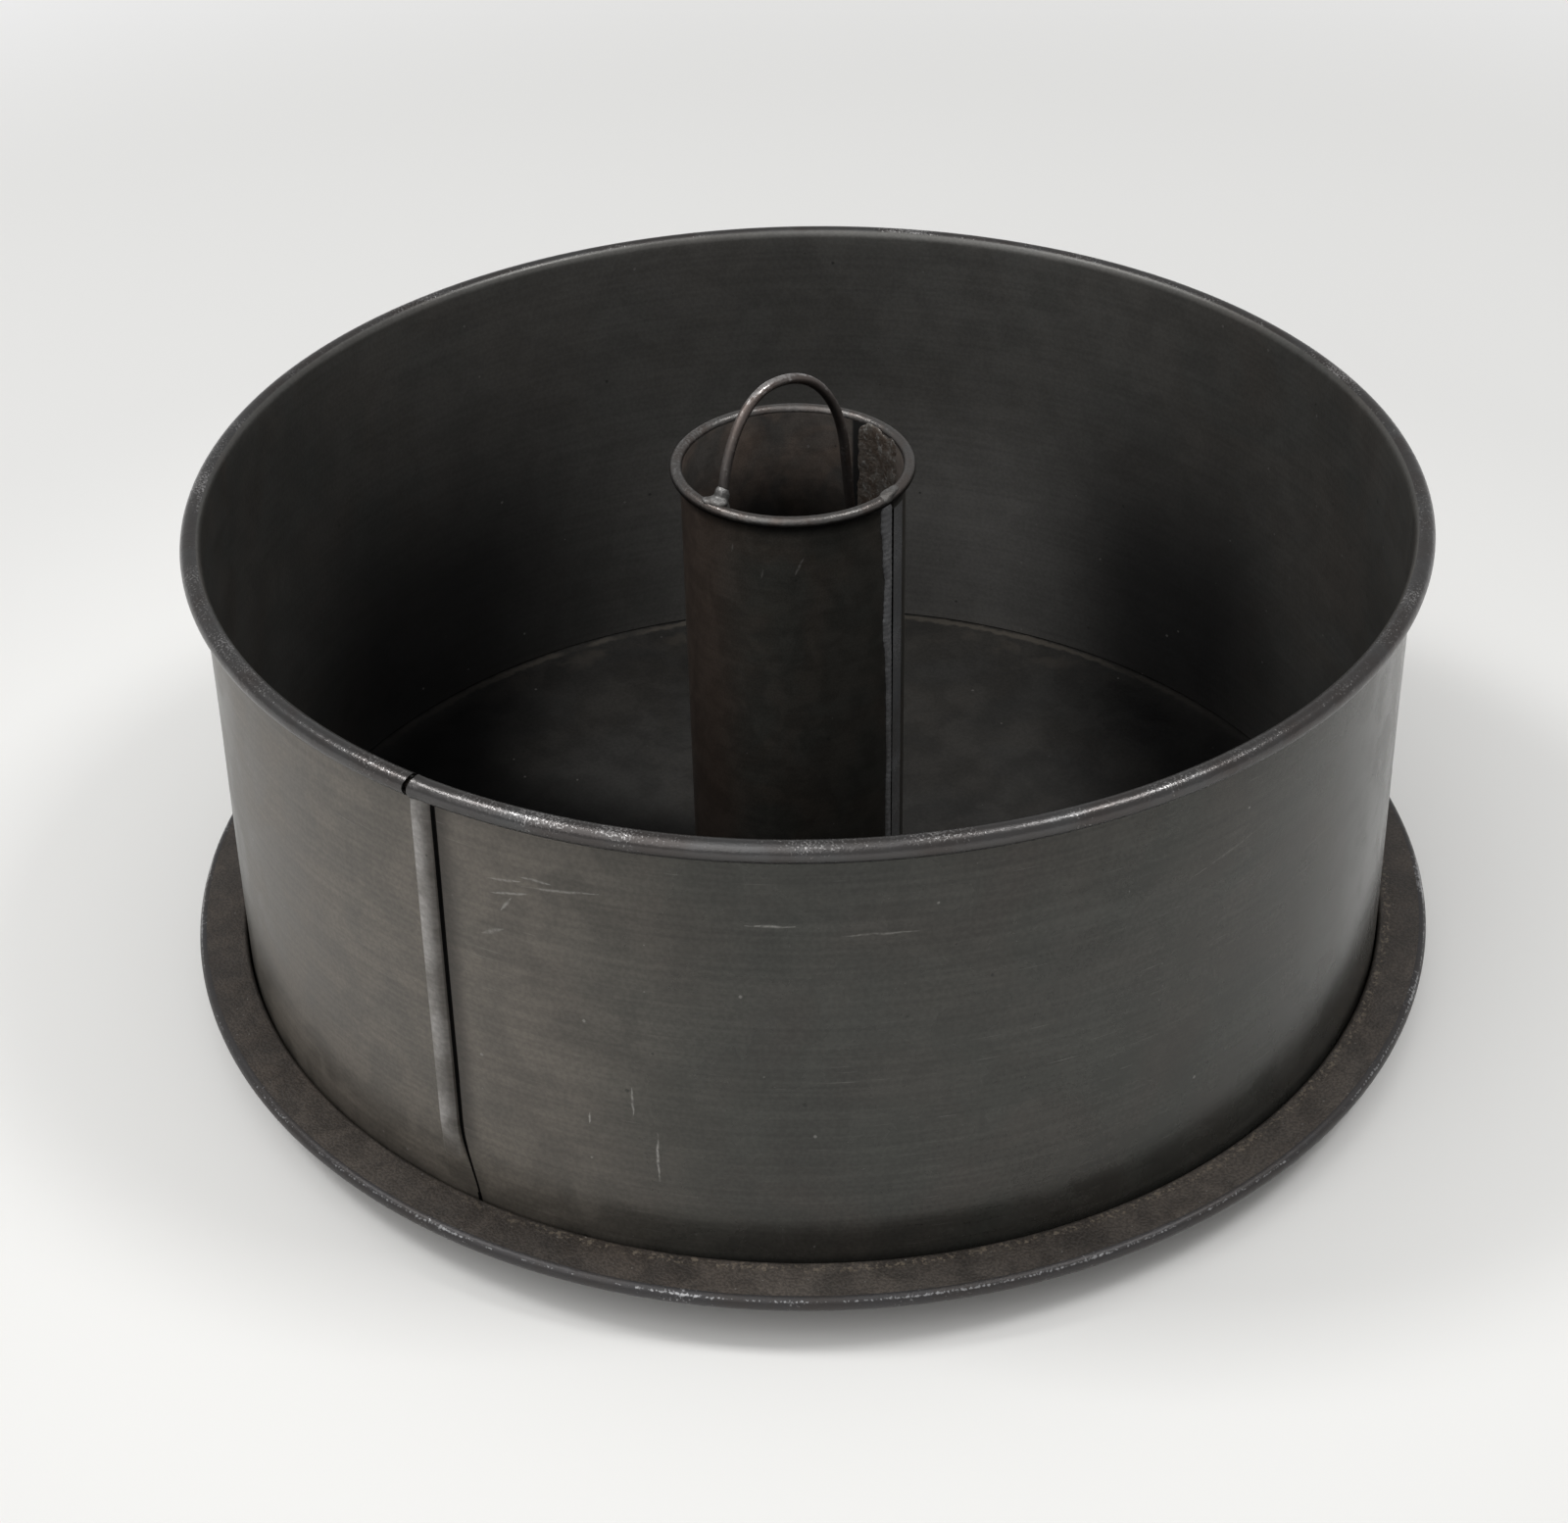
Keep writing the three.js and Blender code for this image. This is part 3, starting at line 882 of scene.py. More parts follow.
        self.tube_inside = SheetFinish(
            "tube inside", (0.07, 0.065, 0.06), (0.185, 0.134, 0.105), (0.13, 0.12, 0.11),
            metal=0.3, radius=tube.outer, centre=on_tube, start=tube.lap_start, gloss=0.5,
            # Painted shade: the inside of the tube is darker towards the bottom.
            cloud_scale=40.0, shades=(Shade(80 * MM, 101 * MM, 0.1, 1.0),),
            # Painted shadow: a black line beside the back smear of solder.
            tint_bands=(TintBand(31.4 * MM, 1.2 * MM, 2.0 * MM, (0.004, 0.004, 0.004), 0.97, dull=0.9),),
        ).material(effects)
        self.tube_bead = WornMetalFinish(
            "tube wired edge", (0.125, 0.121, 0.117), (0.29, 0.285, 0.28), (0.115, 0.094, 0.084),
            # Painted shade on the bead's underside.
            wear_high=0.76, crest_wear_and_sheen=0.07, under=0.15, stain_share=0.7, stain_scale=60.0,
        ).material(effects)
        self.lap_strip = WornMetalFinish(
            "lap strip", (0.19, 0.192, 0.197), (0.28, 0.28, 0.285), (0.14, 0.13, 0.12),
            metal=0.5, crest_wear_and_sheen=0.0, wear_low=0.48, wear_high=0.66, rub_scale=120.0,
        ).material(effects)
        self.lap_solder = WornMetalFinish(
            "lap solder", (0.2, 0.203, 0.21), (0.29, 0.29, 0.295), (0.14, 0.133, 0.125),
            metal=0.4, crest_wear_and_sheen=0.0, wear_low=0.48, wear_high=0.66, rub_scale=120.0, gloss_dark=0.5,
            gloss_bright=0.42,
        ).material(effects)
        self.edge_wire = WornMetalFinish(
            "edge wire", (0.05, 0.045, 0.04), (0.2, 0.19, 0.18), (0.05, 0.035, 0.028),
        ).material(effects)
        self.loop_wire = WornMetalFinish(
            "lifting loop wire", (0.17, 0.154, 0.146), (0.46, 0.44, 0.43), (0.13, 0.102, 0.09),
            # A painted highlight with the wear along the wire's top, and painted shade on its underside.
            rub_scale=150.0, fleck_scale=900.0, wear_low=0.54, wear_high=0.72, crest_wear_and_sheen=0.15,
            under=0.45, stain_share=0.8, gloss_dark=0.46,
        ).material(effects)
        self.solder = WornMetalFinish(
            "dull solder", (0.15, 0.148, 0.144), (0.25, 0.245, 0.24), (0.12, 0.1, 0.085),
            rub_scale=260.0, fleck_scale=1300.0, wear_low=0.5, wear_high=0.7, gloss_dark=0.58,
            gloss_bright=0.46, bump=0.3,
        ).material(effects)
        self.old_solder = WornMetalFinish(
            "browned solder", (0.14, 0.124, 0.108), (0.26, 0.25, 0.235), (0.085, 0.064, 0.05), metal=0.6,
            rub_scale=420.0, fleck_scale=1500.0, wear_low=0.52, wear_high=0.66, gloss_dark=0.6,
            gloss_bright=0.5, bump=0.3, stain_share=1.0, stain_scale=150.0,
        ).material(effects)


def place_object(data: bpy.types.ID) -> bpy.types.Object:
    """Puts data in the scene.

    Args:
        data: A mesh, a lamp or a camera.

    Returns:
        The new object, which is named after its data.
    """
    placed = bpy.data.objects.new(data.name, data)
    bpy.context.scene.collection.objects.link(placed)
    return placed


def arc_spots(centre: Spot, radius: float, start: float, end: float, steps: int) -> list[Spot]:
    """Points along an arc of a section.

    Args:
        centre: Radius and height of the arc's centre.
        radius: The arc's own radius.
        start: First angle, from the outward direction.
        end: Last angle.
        steps: How many chords the arc has.

    Returns:
        The points, both ends included.
    """
    angles = [mixed(start, end, i / steps) for i in range(steps + 1)]
    return [(centre[0] + radius * math.cos(a), centre[1] + radius * math.sin(a)) for a in angles]


def turn_section(bm: bmesh.types.BMesh, section: Sequence[Spot], start: float, angle: float,
                 steps: int, closed: bool = True) -> None:
    """Spins a section about Z: first one lot of steps, then copies of that lot.

    Args:
        bm: The mesh that takes the faces, whose lots still have to be merged.
        section: Points of radius and height.
        start: Bearing at which the section first stands.
        angle: How far it is spun.
        steps: How many steps the spin takes.
        closed: Whether the section's last point joins its first.
    """
    lots = max(count for count in range(1, math.isqrt(steps) + 1) if steps % count == 0)
    lot = bmesh.new()
    verts = [lot.verts.new((r * math.cos(start), r * math.sin(start), z)) for r, z in section]
    ends = verts[1:] + verts[:1] if closed else verts[1:]
    edges = [lot.edges.new(pair) for pair in zip(verts, ends)]
    about = {"cent": (0, 0, 0), "axis": UP}
    bmesh.ops.spin(lot, geom=verts + edges, angle=angle / lots, steps=steps // lots, **about)
    if lots > 1:
        whole = lot.verts[:] + lot.edges[:] + lot.faces[:]
        rest = angle * (lots - 1) / lots
        bmesh.ops.spin(lot, geom=whole, angle=rest, steps=lots - 1, use_duplicate=True, **about)
    mesh = bpy.data.meshes.new("turned lot")
    lot.to_mesh(mesh)
    lot.free()
    bm.from_mesh(mesh)
    bpy.data.meshes.remove(mesh)


def close_seams(bm: bmesh.types.BMesh) -> None:
    """Merges doubled vertices, fills open loops and turns every face outwards.

    Args:
        bm: The shape.
    """
    bmesh.ops.remove_doubles(bm, verts=bm.verts[:], dist=MERGE_DISTANCE)
    open_edges = [edge for edge in bm.edges if len(edge.link_faces) == 1]
    if open_edges:
        bmesh.ops.holes_fill(bm, edges=open_edges, sides=0)
    bmesh.ops.recalc_face_normals(bm, faces=bm.faces[:])


def turn_past(start: float, point: Vector) -> float:
    """Signed angle about Z from a bearing to a point, at most half a turn either way."""
    return (math.atan2(point.y, point.x) - start + math.pi) % (2 * math.pi) - math.pi


def lay_zones(bm: bmesh.types.BMesh, zone: Callable[[bmesh.types.BMFace], int]) -> None:
    """Gives each face the place of its material.

    Args:
        bm: The shape.
        zone: Names the material's place for a face.
    """
    bm.normal_update()
    for face in bm.faces:
        face.material_index = zone(face)


def form_wall(start: float, stretches: Iterable[tuple[float, float, list[Spot], float]],
              zone: Callable[[bmesh.types.BMFace], int],
              shape: Callable[[Vector], Vector]) -> bmesh.types.BMesh:
    """Spins stretches of a wall one after another, lays its zones and forms it.

    Args:
        start: Bearing that the stretches are counted from.
        stretches: First and last angle, section and step of each stretch.
        zone: Names the material's place for a face of the plain wall.
        shape: Moves a point of the plain wall to its place.

    Returns:
        The formed wall.
    """
    bm = bmesh.new()
    for low, high, section, step in stretches:
        turn_section(bm, section, start + low, high - low, max(1, round((high - low) / step)))
    close_seams(bm)
    lay_zones(bm, zone)
    for vert in bm.verts:
        vert.co = shape(vert.co)
    return bm


def to_mesh(bm: bmesh.types.BMesh, name: str, shift: Vector | None = None) -> bpy.types.Mesh:
    """Finishes a mesh: its smooth faces, its sharp edges and its place.

    Args:
        bm: The shape, which is used up.
        name: Name of the mesh.
        shift: Where the shape's own axis stands.

    Returns:
        The mesh.
    """
    bm.normal_update()
    for face in bm.faces:
        face.smooth = True
    for edge in bm.edges:
        edge.smooth = len(edge.link_faces) == 2 and edge.calc_face_angle() < SHARP_ANGLE
    if shift:
        bmesh.ops.translate(bm, verts=bm.verts[:], vec=shift)
    mesh = bpy.data.meshes.new(name)
    bm.to_mesh(mesh)
    bm.free()
    return mesh


def settle(mesh: bpy.types.Mesh, body: Body, slot: Slot, node: str,
           materials: Iterable[bpy.types.Material]) -> None:
    """Puts a finished piece in the place of a solid of the frame.

    Args:
        mesh: The piece's mesh, in place.
        body: The half of the pan that it moves with.
        slot: The record's slot that its finish comes from; not used.
        node: The solid that it stands for.
        materials: Its materials, in the order of its zones.
    """
    piece = place_object(mesh)
    for material in materials:
        mesh.materials.append(material)
    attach(piece, body.value)
    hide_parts(node)
    LOG.info("%s: %d faces, rides on %s", piece.name, len(mesh.polygons), body.value)


@dataclass(frozen=True)
class Gauge:
    """Sheet and fits that every tinned piece shares."""

    sheet: float = 0.5 * MM
    fit: float = 0.3 * MM
    curl_gap: float = 0.35 * MM
    curl_steps: int = 28


class WiredEdge:
    """What the round sheet pieces share: an edge that is curled round a wire."""

    gauge: Gauge
    wire: float
    steps: int
    bead_ring: float
    bead_height: float

    @property
    def bead(self) -> float:
        """Outer radius of the wired edge."""
        return self.wire / 2 + self.gauge.fit + self.gauge.sheet

    @property
    def wall_top(self) -> float:
        """Height of the bead's lower side."""
        return self.bead_height - self.bead

    def on_curl(self, point: Vector) -> bool:
        """Whether a point of an upright piece lies on its curl, clear of the wall."""
        clear_of_wall = self.bead_ring - self.bead + 2 * self.gauge.sheet
        return math.hypot(point.x, point.y) > clear_of_wall and point.z > self.wall_top

    def curl(self, start: float) -> list[Spot]:
        """Section of the curled edge, from the outer face round its free end to the inner face.

        Args:
            start: Angle at which the sheet runs into the curl.

        Returns:
            The section's points, both ends included.
        """
        sheet, steps = self.gauge.sheet, self.gauge.curl_steps
        centre = (self.bead_ring, self.bead_height)
        opening = math.acos(1 - (sheet + self.gauge.curl_gap) / self.bead)
        end = start - 2 * math.pi + opening
        outside = arc_spots(centre, self.bead, start, end, steps)
        return outside + arc_spots(centre, self.bead - sheet, end, start, steps)

    def lay_wire(self, name: str, body: Body, node: str, finish: bpy.types.Material,
                 shift: Vector | None = None) -> None:
        """Makes the ring of round wire inside the curled edge.

        Args:
            name: Name of the piece.
            body: The half of the pan that it moves with.
            node: The solid that it stands for.
            finish: Its material.
            shift: Where the ring's axis stands.
        """
        bm = bmesh.new()
        centre = (self.bead_ring, self.bead_height)
        section = arc_spots(centre, self.wire / 2, 0, 2 * math.pi, self.gauge.curl_steps // 2)[:-1]
        turn_section(bm, section, 0, 2 * math.pi, self.steps)
        close_seams(bm)
        settle(to_mesh(bm, name, shift), body, Slot.EDGE_WIRE, node, (finish,))


@dataclass
class SideHoop(WiredEdge):
    """The loose hoop: a flared wall, a grooved lock seam and a wired top edge."""

    gauge: Gauge
    top_inside: float = 114.3 * MM
    flare: float = 2.35 * MM
    height: float = 102 * MM
    wire: float = 2.3 * MM
    seam_bearing: float = math.radians(-82.2)
    seam_width: float = 4 * MM
    seam_proud: float = 1 * MM
    seam_flat_proud: float = 0.03 * MM
    seam_flat_height: float = 13 * MM
    seam_blend_height: float = 15 * MM
    seam_drift: float = 3.2 * MM
    seam_top_gap: float = 0.8 * MM
    seam_crease: float = 0.4 * MM
    seam_edge: float = 0.15 * MM
    gap_depth: float = 0.25 * MM
    gap_width: float = 0.6 * MM
    notch: float = 1.1 * MM
    notch_bow: float = 0.55 * MM
    notch_reach: float = 2.4 * MM
    notch_swell: float = 0.09
    dent: float = 0.25 * MM
    dent_size: float = 42 * MM
    steps: int = 300
    fine_ring: float = 1 * MM
    wide_ring: float = 3 * MM
    seam_step: float = 0.15 * MM
    seam_margin: float = 6 * MM
    seam_shoulder: float = 0.45
    shoulder_start: float = 0.2
    drift_start: float = 0.5
    dent_low: float = 0.2
    dent_high: float = 0.75
    crown: float = 0.8
    scuffs: tuple[Stroke, ...] = tuple(Stroke.drawn(row) for row in (
        (-76, 86, -73, 87, 0.4, 0.45),
        (-73, 88, -70, 88, 0.4, 0.4),
        (-76, 83, -72, 85, 0.4, 0.45),
        (-73, 86, -66, 88, 0.4, 0.35),
        (-74, 83, -75, 80, 0.5, 0.45),
        (-77, 74, -75, 76, 0.7, 0.3),
        (-54, 85, -50, 85, 0.4, 0.4),
        (-47, 83, -40, 83, 0.35, 0.25),
        (-64, 49, -64, 42, 0.35, 0.5),
        (-62, 39, -62, 28, 0.4, 0.6),
        (-68, 41, -68, 38, 0.3, 0.6),
        (-16, 79, -6, 83, 0.35, 0.12),
    ))

    @property
    def seat(self) -> float:
        """Height of the wall's lower edge above the table."""
        return self.gauge.sheet + self.gauge.fit

    @property
    def bead_height(self) -> float:
        """Height of the rim wire above the table."""
        return self.seat + self.height - self.bead

    @property
    def bead_ring(self) -> float:
        """Radius of the rim wire's ring."""
        return self.top_inside + self.bead

    def inner(self, height: float) -> float:
        """Inside radius of the wall at a height above the table."""
        share = (height - self.seat) / (self.bead_height - self.seat)
        return self.top_inside + self.flare * (1 - share)

    def wall_heights(self) -> list[float]:
        """Heights of the wall's rings: close together where the seam drifts, wider above.

        Returns:
            The heights above the table, lowest first.
        """
        fine_top = self.seat + self.seam_flat_height + self.seam_blend_height
        fine_count = round((fine_top - self.seat) / self.fine_ring)
        wide_count = round((self.bead_height - fine_top) / self.wide_ring)
        low = [mixed(self.seat, fine_top, i / fine_count) for i in range(fine_count)]
        high = [mixed(fine_top, self.bead_height, i / wide_count) for i in range(wide_count + 1)]
        return low + high

    def sections(self) -> tuple[list[Spot], list[Spot]]:
        """Sections of the hoop.

        Returns:
            The full section, and the bare wall's where the bead's ends leave a gap.
        """
        heights = self.wall_heights()
        inside = [(self.inner(z), z) for z in heights]
        outside = [(self.inner(z) + self.gauge.sheet, z) for z in reversed(heights)]
        curl = self.curl(math.pi)[1:-1]
        return inside + curl + outside, inside + outside

    def seam_rise(self, height: float) -> tuple[float, float]:
        """Form of the seam at a height.

        Args:
            height: Height above the table.

        Returns:
            How proud it stands, and how far its folded edge drifts to the right.
        """
        rise = height - self.seat
        blend_top = self.seam_flat_height + self.seam_blend_height
        full = smooth_share(rise, self.seam_flat_height, blend_top)
        proud = mixed(self.seam_flat_proud, self.seam_proud, full)
        drift_low = self.drift_start * self.seam_flat_height
        drift = self.seam_drift * (1 - smooth_share(rise, drift_low, blend_top))
        return proud, drift

    def seam_lift(self, along: float, proud: float) -> float:
        """How far the seam lifts the wall's outer face.

        Args:
            along: Arc length from the seam's bearing, before the folded edge drifts.
            proud: How proud the seam stands at this height.

        Returns:
            The lift, which is negative in the gap beside the folded edge.
        """
        left, right = -self.seam_width / 2, self.seam_width / 2
        if along < right - self.seam_edge:
            crease = smooth_share(along, left - self.seam_crease / 2, left + self.seam_crease / 2)
            fall = smooth_share(along, self.shoulder_start * right, right)
            shoulder = 1 - self.seam_shoulder * fall ** 2
            return proud * crease * shoulder
        if along < right:
            edge = proud * (1 - self.seam_shoulder)
            return mixed(edge, -self.gap_depth, (along - right + self.seam_edge) / self.seam_edge)
        gap_end = right + self.gap_width
        return -self.gap_depth * (1 - smooth_share(along, gap_end - 2 * self.seam_edge, gap_end))

    def seam_point(self, point: Vector, along: float) -> Vector:
        """Moves a point of the wall's outer face to its place on the seam.

        Args:
            point: A vertex near the seam.
            along: Its arc length from the seam's bearing.

        Returns:
            Its new place.
        """
        radius = math.hypot(point.x, point.y)
        proud, drift = self.seam_rise(point.z)
        gap_end = self.seam_width / 2 + self.gap_width
        pulled = smooth_share(along, -self.seam_width / 2, self.seam_width / 2)
        pulled *= 1 - smooth_share(along, gap_end, gap_end + self.seam_margin)
        turn = self.seam_bearing + (along + drift * pulled) / radius
        top = self.wall_top - self.seam_top_gap
        lift = self.seam_lift(along, proud) * (1 - smooth_share(point.z, top - self.seam_crease, top))
        return Vector((math.cos(turn), math.sin(turn), 0)) * (radius + lift) + UP * point.z

    def bead_point(self, point: Vector, along: float) -> Vector:
        """Moves a point of the wired edge, whose two ends bow and whose right end swells.

        Args:
            point: A vertex of the bead near its ends.
            along: Its arc length from the seam's bearing.

        Returns:
            Its new place.
        """
        radius = math.hypot(point.x, point.y)
        near = 1 - smooth_share(abs(along), self.notch / 2, self.notch_reach)
        level = min(1.0, abs(point.z - self.bead_height) / self.bead)
        turn = self.seam_bearing + (along - self.notch_bow * (1 - level * level) * near) / radius
        swell = 1 + self.notch_swell * near if along > 0 else 1.0
        out = self.bead_ring + (radius - self.bead_ring) * swell
        rise = self.bead_height + (point.z - self.bead_height) * swell
        return Vector((math.cos(turn) * out, math.sin(turn) * out, rise))

    def shape(self, point: Vector) -> Vector:
        """Moves a point of the plain wall to its place on the dented, seamed one.

        Args:
            point: A vertex of the turned wall.

        Returns:
            Its new place.
        """
        radius = math.hypot(point.x, point.y)
        outward = Vector((point.x, point.y, 0)) / radius
        along = turn_past(self.seam_bearing, point) * radius
        if self.on_curl(point) and abs(along) < self.notch_reach:
            return self.bead_point(point, along)
        held = smooth_share(point.z, self.seat, self.dent_low * self.wall_top)
        held *= 1 - smooth_share(point.z, self.dent_high * self.wall_top, self.wall_top)
        waver = noise.noise((outward * self.top_inside + UP * point.z) / self.dent_size)
        moved = point + outward * (self.dent * waver * held)
        on_outside = radius > self.inner(point.z) + self.gauge.sheet / 2
        low, high = self.seam_reach()
        if on_outside and low < along < high and point.z < self.wall_top:
            return self.seam_point(moved, along)
        return moved

    def seam_reach(self) -> tuple[float, float]:
        """Arc lengths between which the seam's forming reaches."""
        half = self.seam_width / 2
        return -half - self.seam_crease, half + self.gap_width + self.seam_margin

    def zone(self, face: bmesh.types.BMFace) -> HoopZone:
        """Place of a face's material: outside, inside, bead or seam gap.

        Args:
            face: A face of the wall before the seam is formed.

        Returns:
            The material's place.
        """
        centre = face.calc_center_median()
        radius = math.hypot(centre.x, centre.y)
        if self.on_curl(centre) or centre.z > self.bead_height + self.crown * self.bead:
            return HoopZone.BEAD
        if face.normal.dot(Vector((centre.x, centre.y, 0))) < 0:
            return HoopZone.INSIDE
        along = turn_past(self.seam_bearing, centre) * radius
        if centre.z > self.wall_top - self.seam_top_gap:
            return HoopZone.OUTSIDE
        right = self.seam_width / 2
        in_gap = right - self.seam_edge <= along < right + self.gap_width
        return HoopZone.SEAM_GAP if in_gap else HoopZone.OUTSIDE

    def build(self, finishes: Finishes) -> None:
        """Makes the wall and its rim wire.

        Args:
            finishes: The pan's materials.
        """
        full, bare = self.sections()
        half_notch = self.notch / 2 / self.bead_ring
        fine_low, fine_high = (length / self.top_inside for length in self.seam_reach())
        fine, coarse = self.seam_step / self.top_inside, 2 * math.pi / self.steps
        stretches = (
            (fine_low, -half_notch, full, fine),
            (-half_notch, half_notch, bare, fine),
            (half_notch, fine_high, full, fine),
            (fine_high, fine_low + 2 * math.pi, full, coarse),
        )
        mesh = to_mesh(form_wall(self.seam_bearing, stretches, self.zone, self.shape), "hoop_wall")
        materials = (finishes.wall_outside, finishes.wall_inside, finishes.hoop_bead, finishes.gap_shade)
        settle(mesh, Body.HOOP, Slot.HOOP_SHEET, "side_wall", materials)
        self.lay_wire("hoop_rim_wire", Body.HOOP, "rim_wire", finishes.edge_wire)


@dataclass
class CentreTube(WiredEdge):
    """The rolled tube: a lapped seam and a wired top edge."""

    gauge: Gauge
    inside: float = 21.1 * MM
    height: float = 107 * MM
    wire: float = 0.8 * MM
    axis: Vector = field(default_factory=lambda: Vector((-1.75 * MM, -1.6 * MM, 0)))
    lap_start: float = math.radians(10)
    lap_width: float = 4 * MM
    lap_top_gap: float = 0.8 * MM
    lap_bottom: float = 3.1 * MM
    lap_edge: float = 0.2 * MM
    steps: int = 140
    lap_step: float = 0.1 * MM
    lap_margin: float = 0.6 * MM
    lap_line: float = 0.6
    rings: int = 30
    scuffs: tuple[Stroke, ...] = tuple(Stroke.drawn(row) for row in (
        (-43, 98.5, -49, 93.5, 0.35, 0.5),
        (-80, 99.5, -81, 97.5, 0.3, 0.4),
        (-64, 95, -65, 93, 0.3, 0.35),
    ))

    @property
    def outer(self) -> float:
        """Outside radius of the tube."""
        return self.inside + self.gauge.sheet

    @property
    def bead_ring(self) -> float:
        """Radius of the edge wire's ring."""
        return self.inside + self.bead

    @property
    def bead_height(self) -> float:
        """Height of the edge wire."""
        return self.height - self.bead

    @property
    def lap_top(self) -> float:
        """Height at which the lap ends under the bead."""
        return self.height - 2 * self.bead - self.lap_top_gap

    def section(self) -> list[Spot]:
        """Section of the tube's wall and curled edge.

        Returns:
            The section's points, from the inside's foot over the curl to the outside's foot.
        """
        heights = [mixed(0, self.bead_height, i / self.rings) for i in range(self.rings + 1)]
        inside = [(self.inside, z) for z in heights]
        outside = [(self.outer, z) for z in reversed(heights)]
        curl = self.curl(math.pi)[1:-1]
        return inside + curl + outside

    def lap_lift(self, along: float, height: float) -> float:
        """How far the lapped layer lifts the outer face.

        Args:
            along: Arc length from the lap's free edge.
            height: Height above the table.

        Returns:
            The lift.
        """
        upright = smooth_share(height, self.lap_bottom, self.lap_bottom + self.lap_edge)
        upright *= 1 - smooth_share(height, self.lap_top, self.lap_top + self.lap_edge)
        half = self.lap_edge / 2
        across = smooth_share(along, -half, half)
        across *= 1 - smooth_share(along, self.lap_width - half, self.lap_width + half)
        return self.gauge.sheet * upright * across

    def shape(self, point: Vector) -> Vector:
        """Moves a point of the plain tube to its place on the lapped one.

        Args:
            point: A vertex of the turned tube.

        Returns:
            Its new place.
        """
        radius = math.hypot(point.x, point.y)
        outward = Vector((point.x, point.y, 0)) / radius
        if radius < self.inside + self.gauge.sheet / 2 or point.z > self.wall_top:
            return point
        along = turn_past(self.lap_start, point) * self.outer
        return point + outward * self.lap_lift(along, point.z)

    def zone(self, face: bmesh.types.BMFace) -> TubeZone:
        """Place of a face's material: outside, inside, bead, lap strip or the line at the lap's edges.

        Args:
            face: A face of the tube.

        Returns:
            The material's place.
        """
        centre = face.calc_center_median()
        if self.on_curl(centre) or centre.z > self.bead_height:
            return TubeZone.BEAD
        if face.normal.dot(Vector((centre.x, centre.y, 0))) < 0:
            return TubeZone.INSIDE
        along = turn_past(self.lap_start, centre) * self.outer
        if centre.z > self.lap_top:
            return TubeZone.OUTSIDE
        if min(abs(along), abs(along - self.lap_width)) < self.lap_line * self.lap_edge:
            return TubeZone.LAP_EDGE
        return TubeZone.LAP if 0 < along < self.lap_width else TubeZone.OUTSIDE

    def build(self, finishes: Finishes) -> None:
        """Makes the tube and its edge wire.

        Args:
            finishes: The pan's materials.
        """
        lap = self.lap_width / self.outer
        margin = self.lap_margin / self.outer
        fine, coarse = self.lap_step / self.outer, 2 * math.pi / self.steps
        section = self.section()
        stretches = (
            (-margin, margin, section, fine),
            (margin, lap - margin, section, coarse),
            (lap - margin, lap + margin, section, fine),
            (lap + margin, 2 * math.pi - margin, section, coarse),
        )
        mesh = to_mesh(form_wall(self.lap_start, stretches, self.zone, self.shape), "tube_shell", self.axis)
        faces = (finishes.tube_outside, finishes.tube_inside)
        # The lap's edge lines take the painted gap shade.
        edges = (finishes.tube_bead, finishes.lap_strip, finishes.gap_shade)
        settle(mesh, Body.BASE, Slot.TUBE_SHEET, "centre_tube", faces + edges)
        self.lay_wire("tube_edge_wire", Body.BASE, "tube_rim_wire", finishes.edge_wire, self.axis)


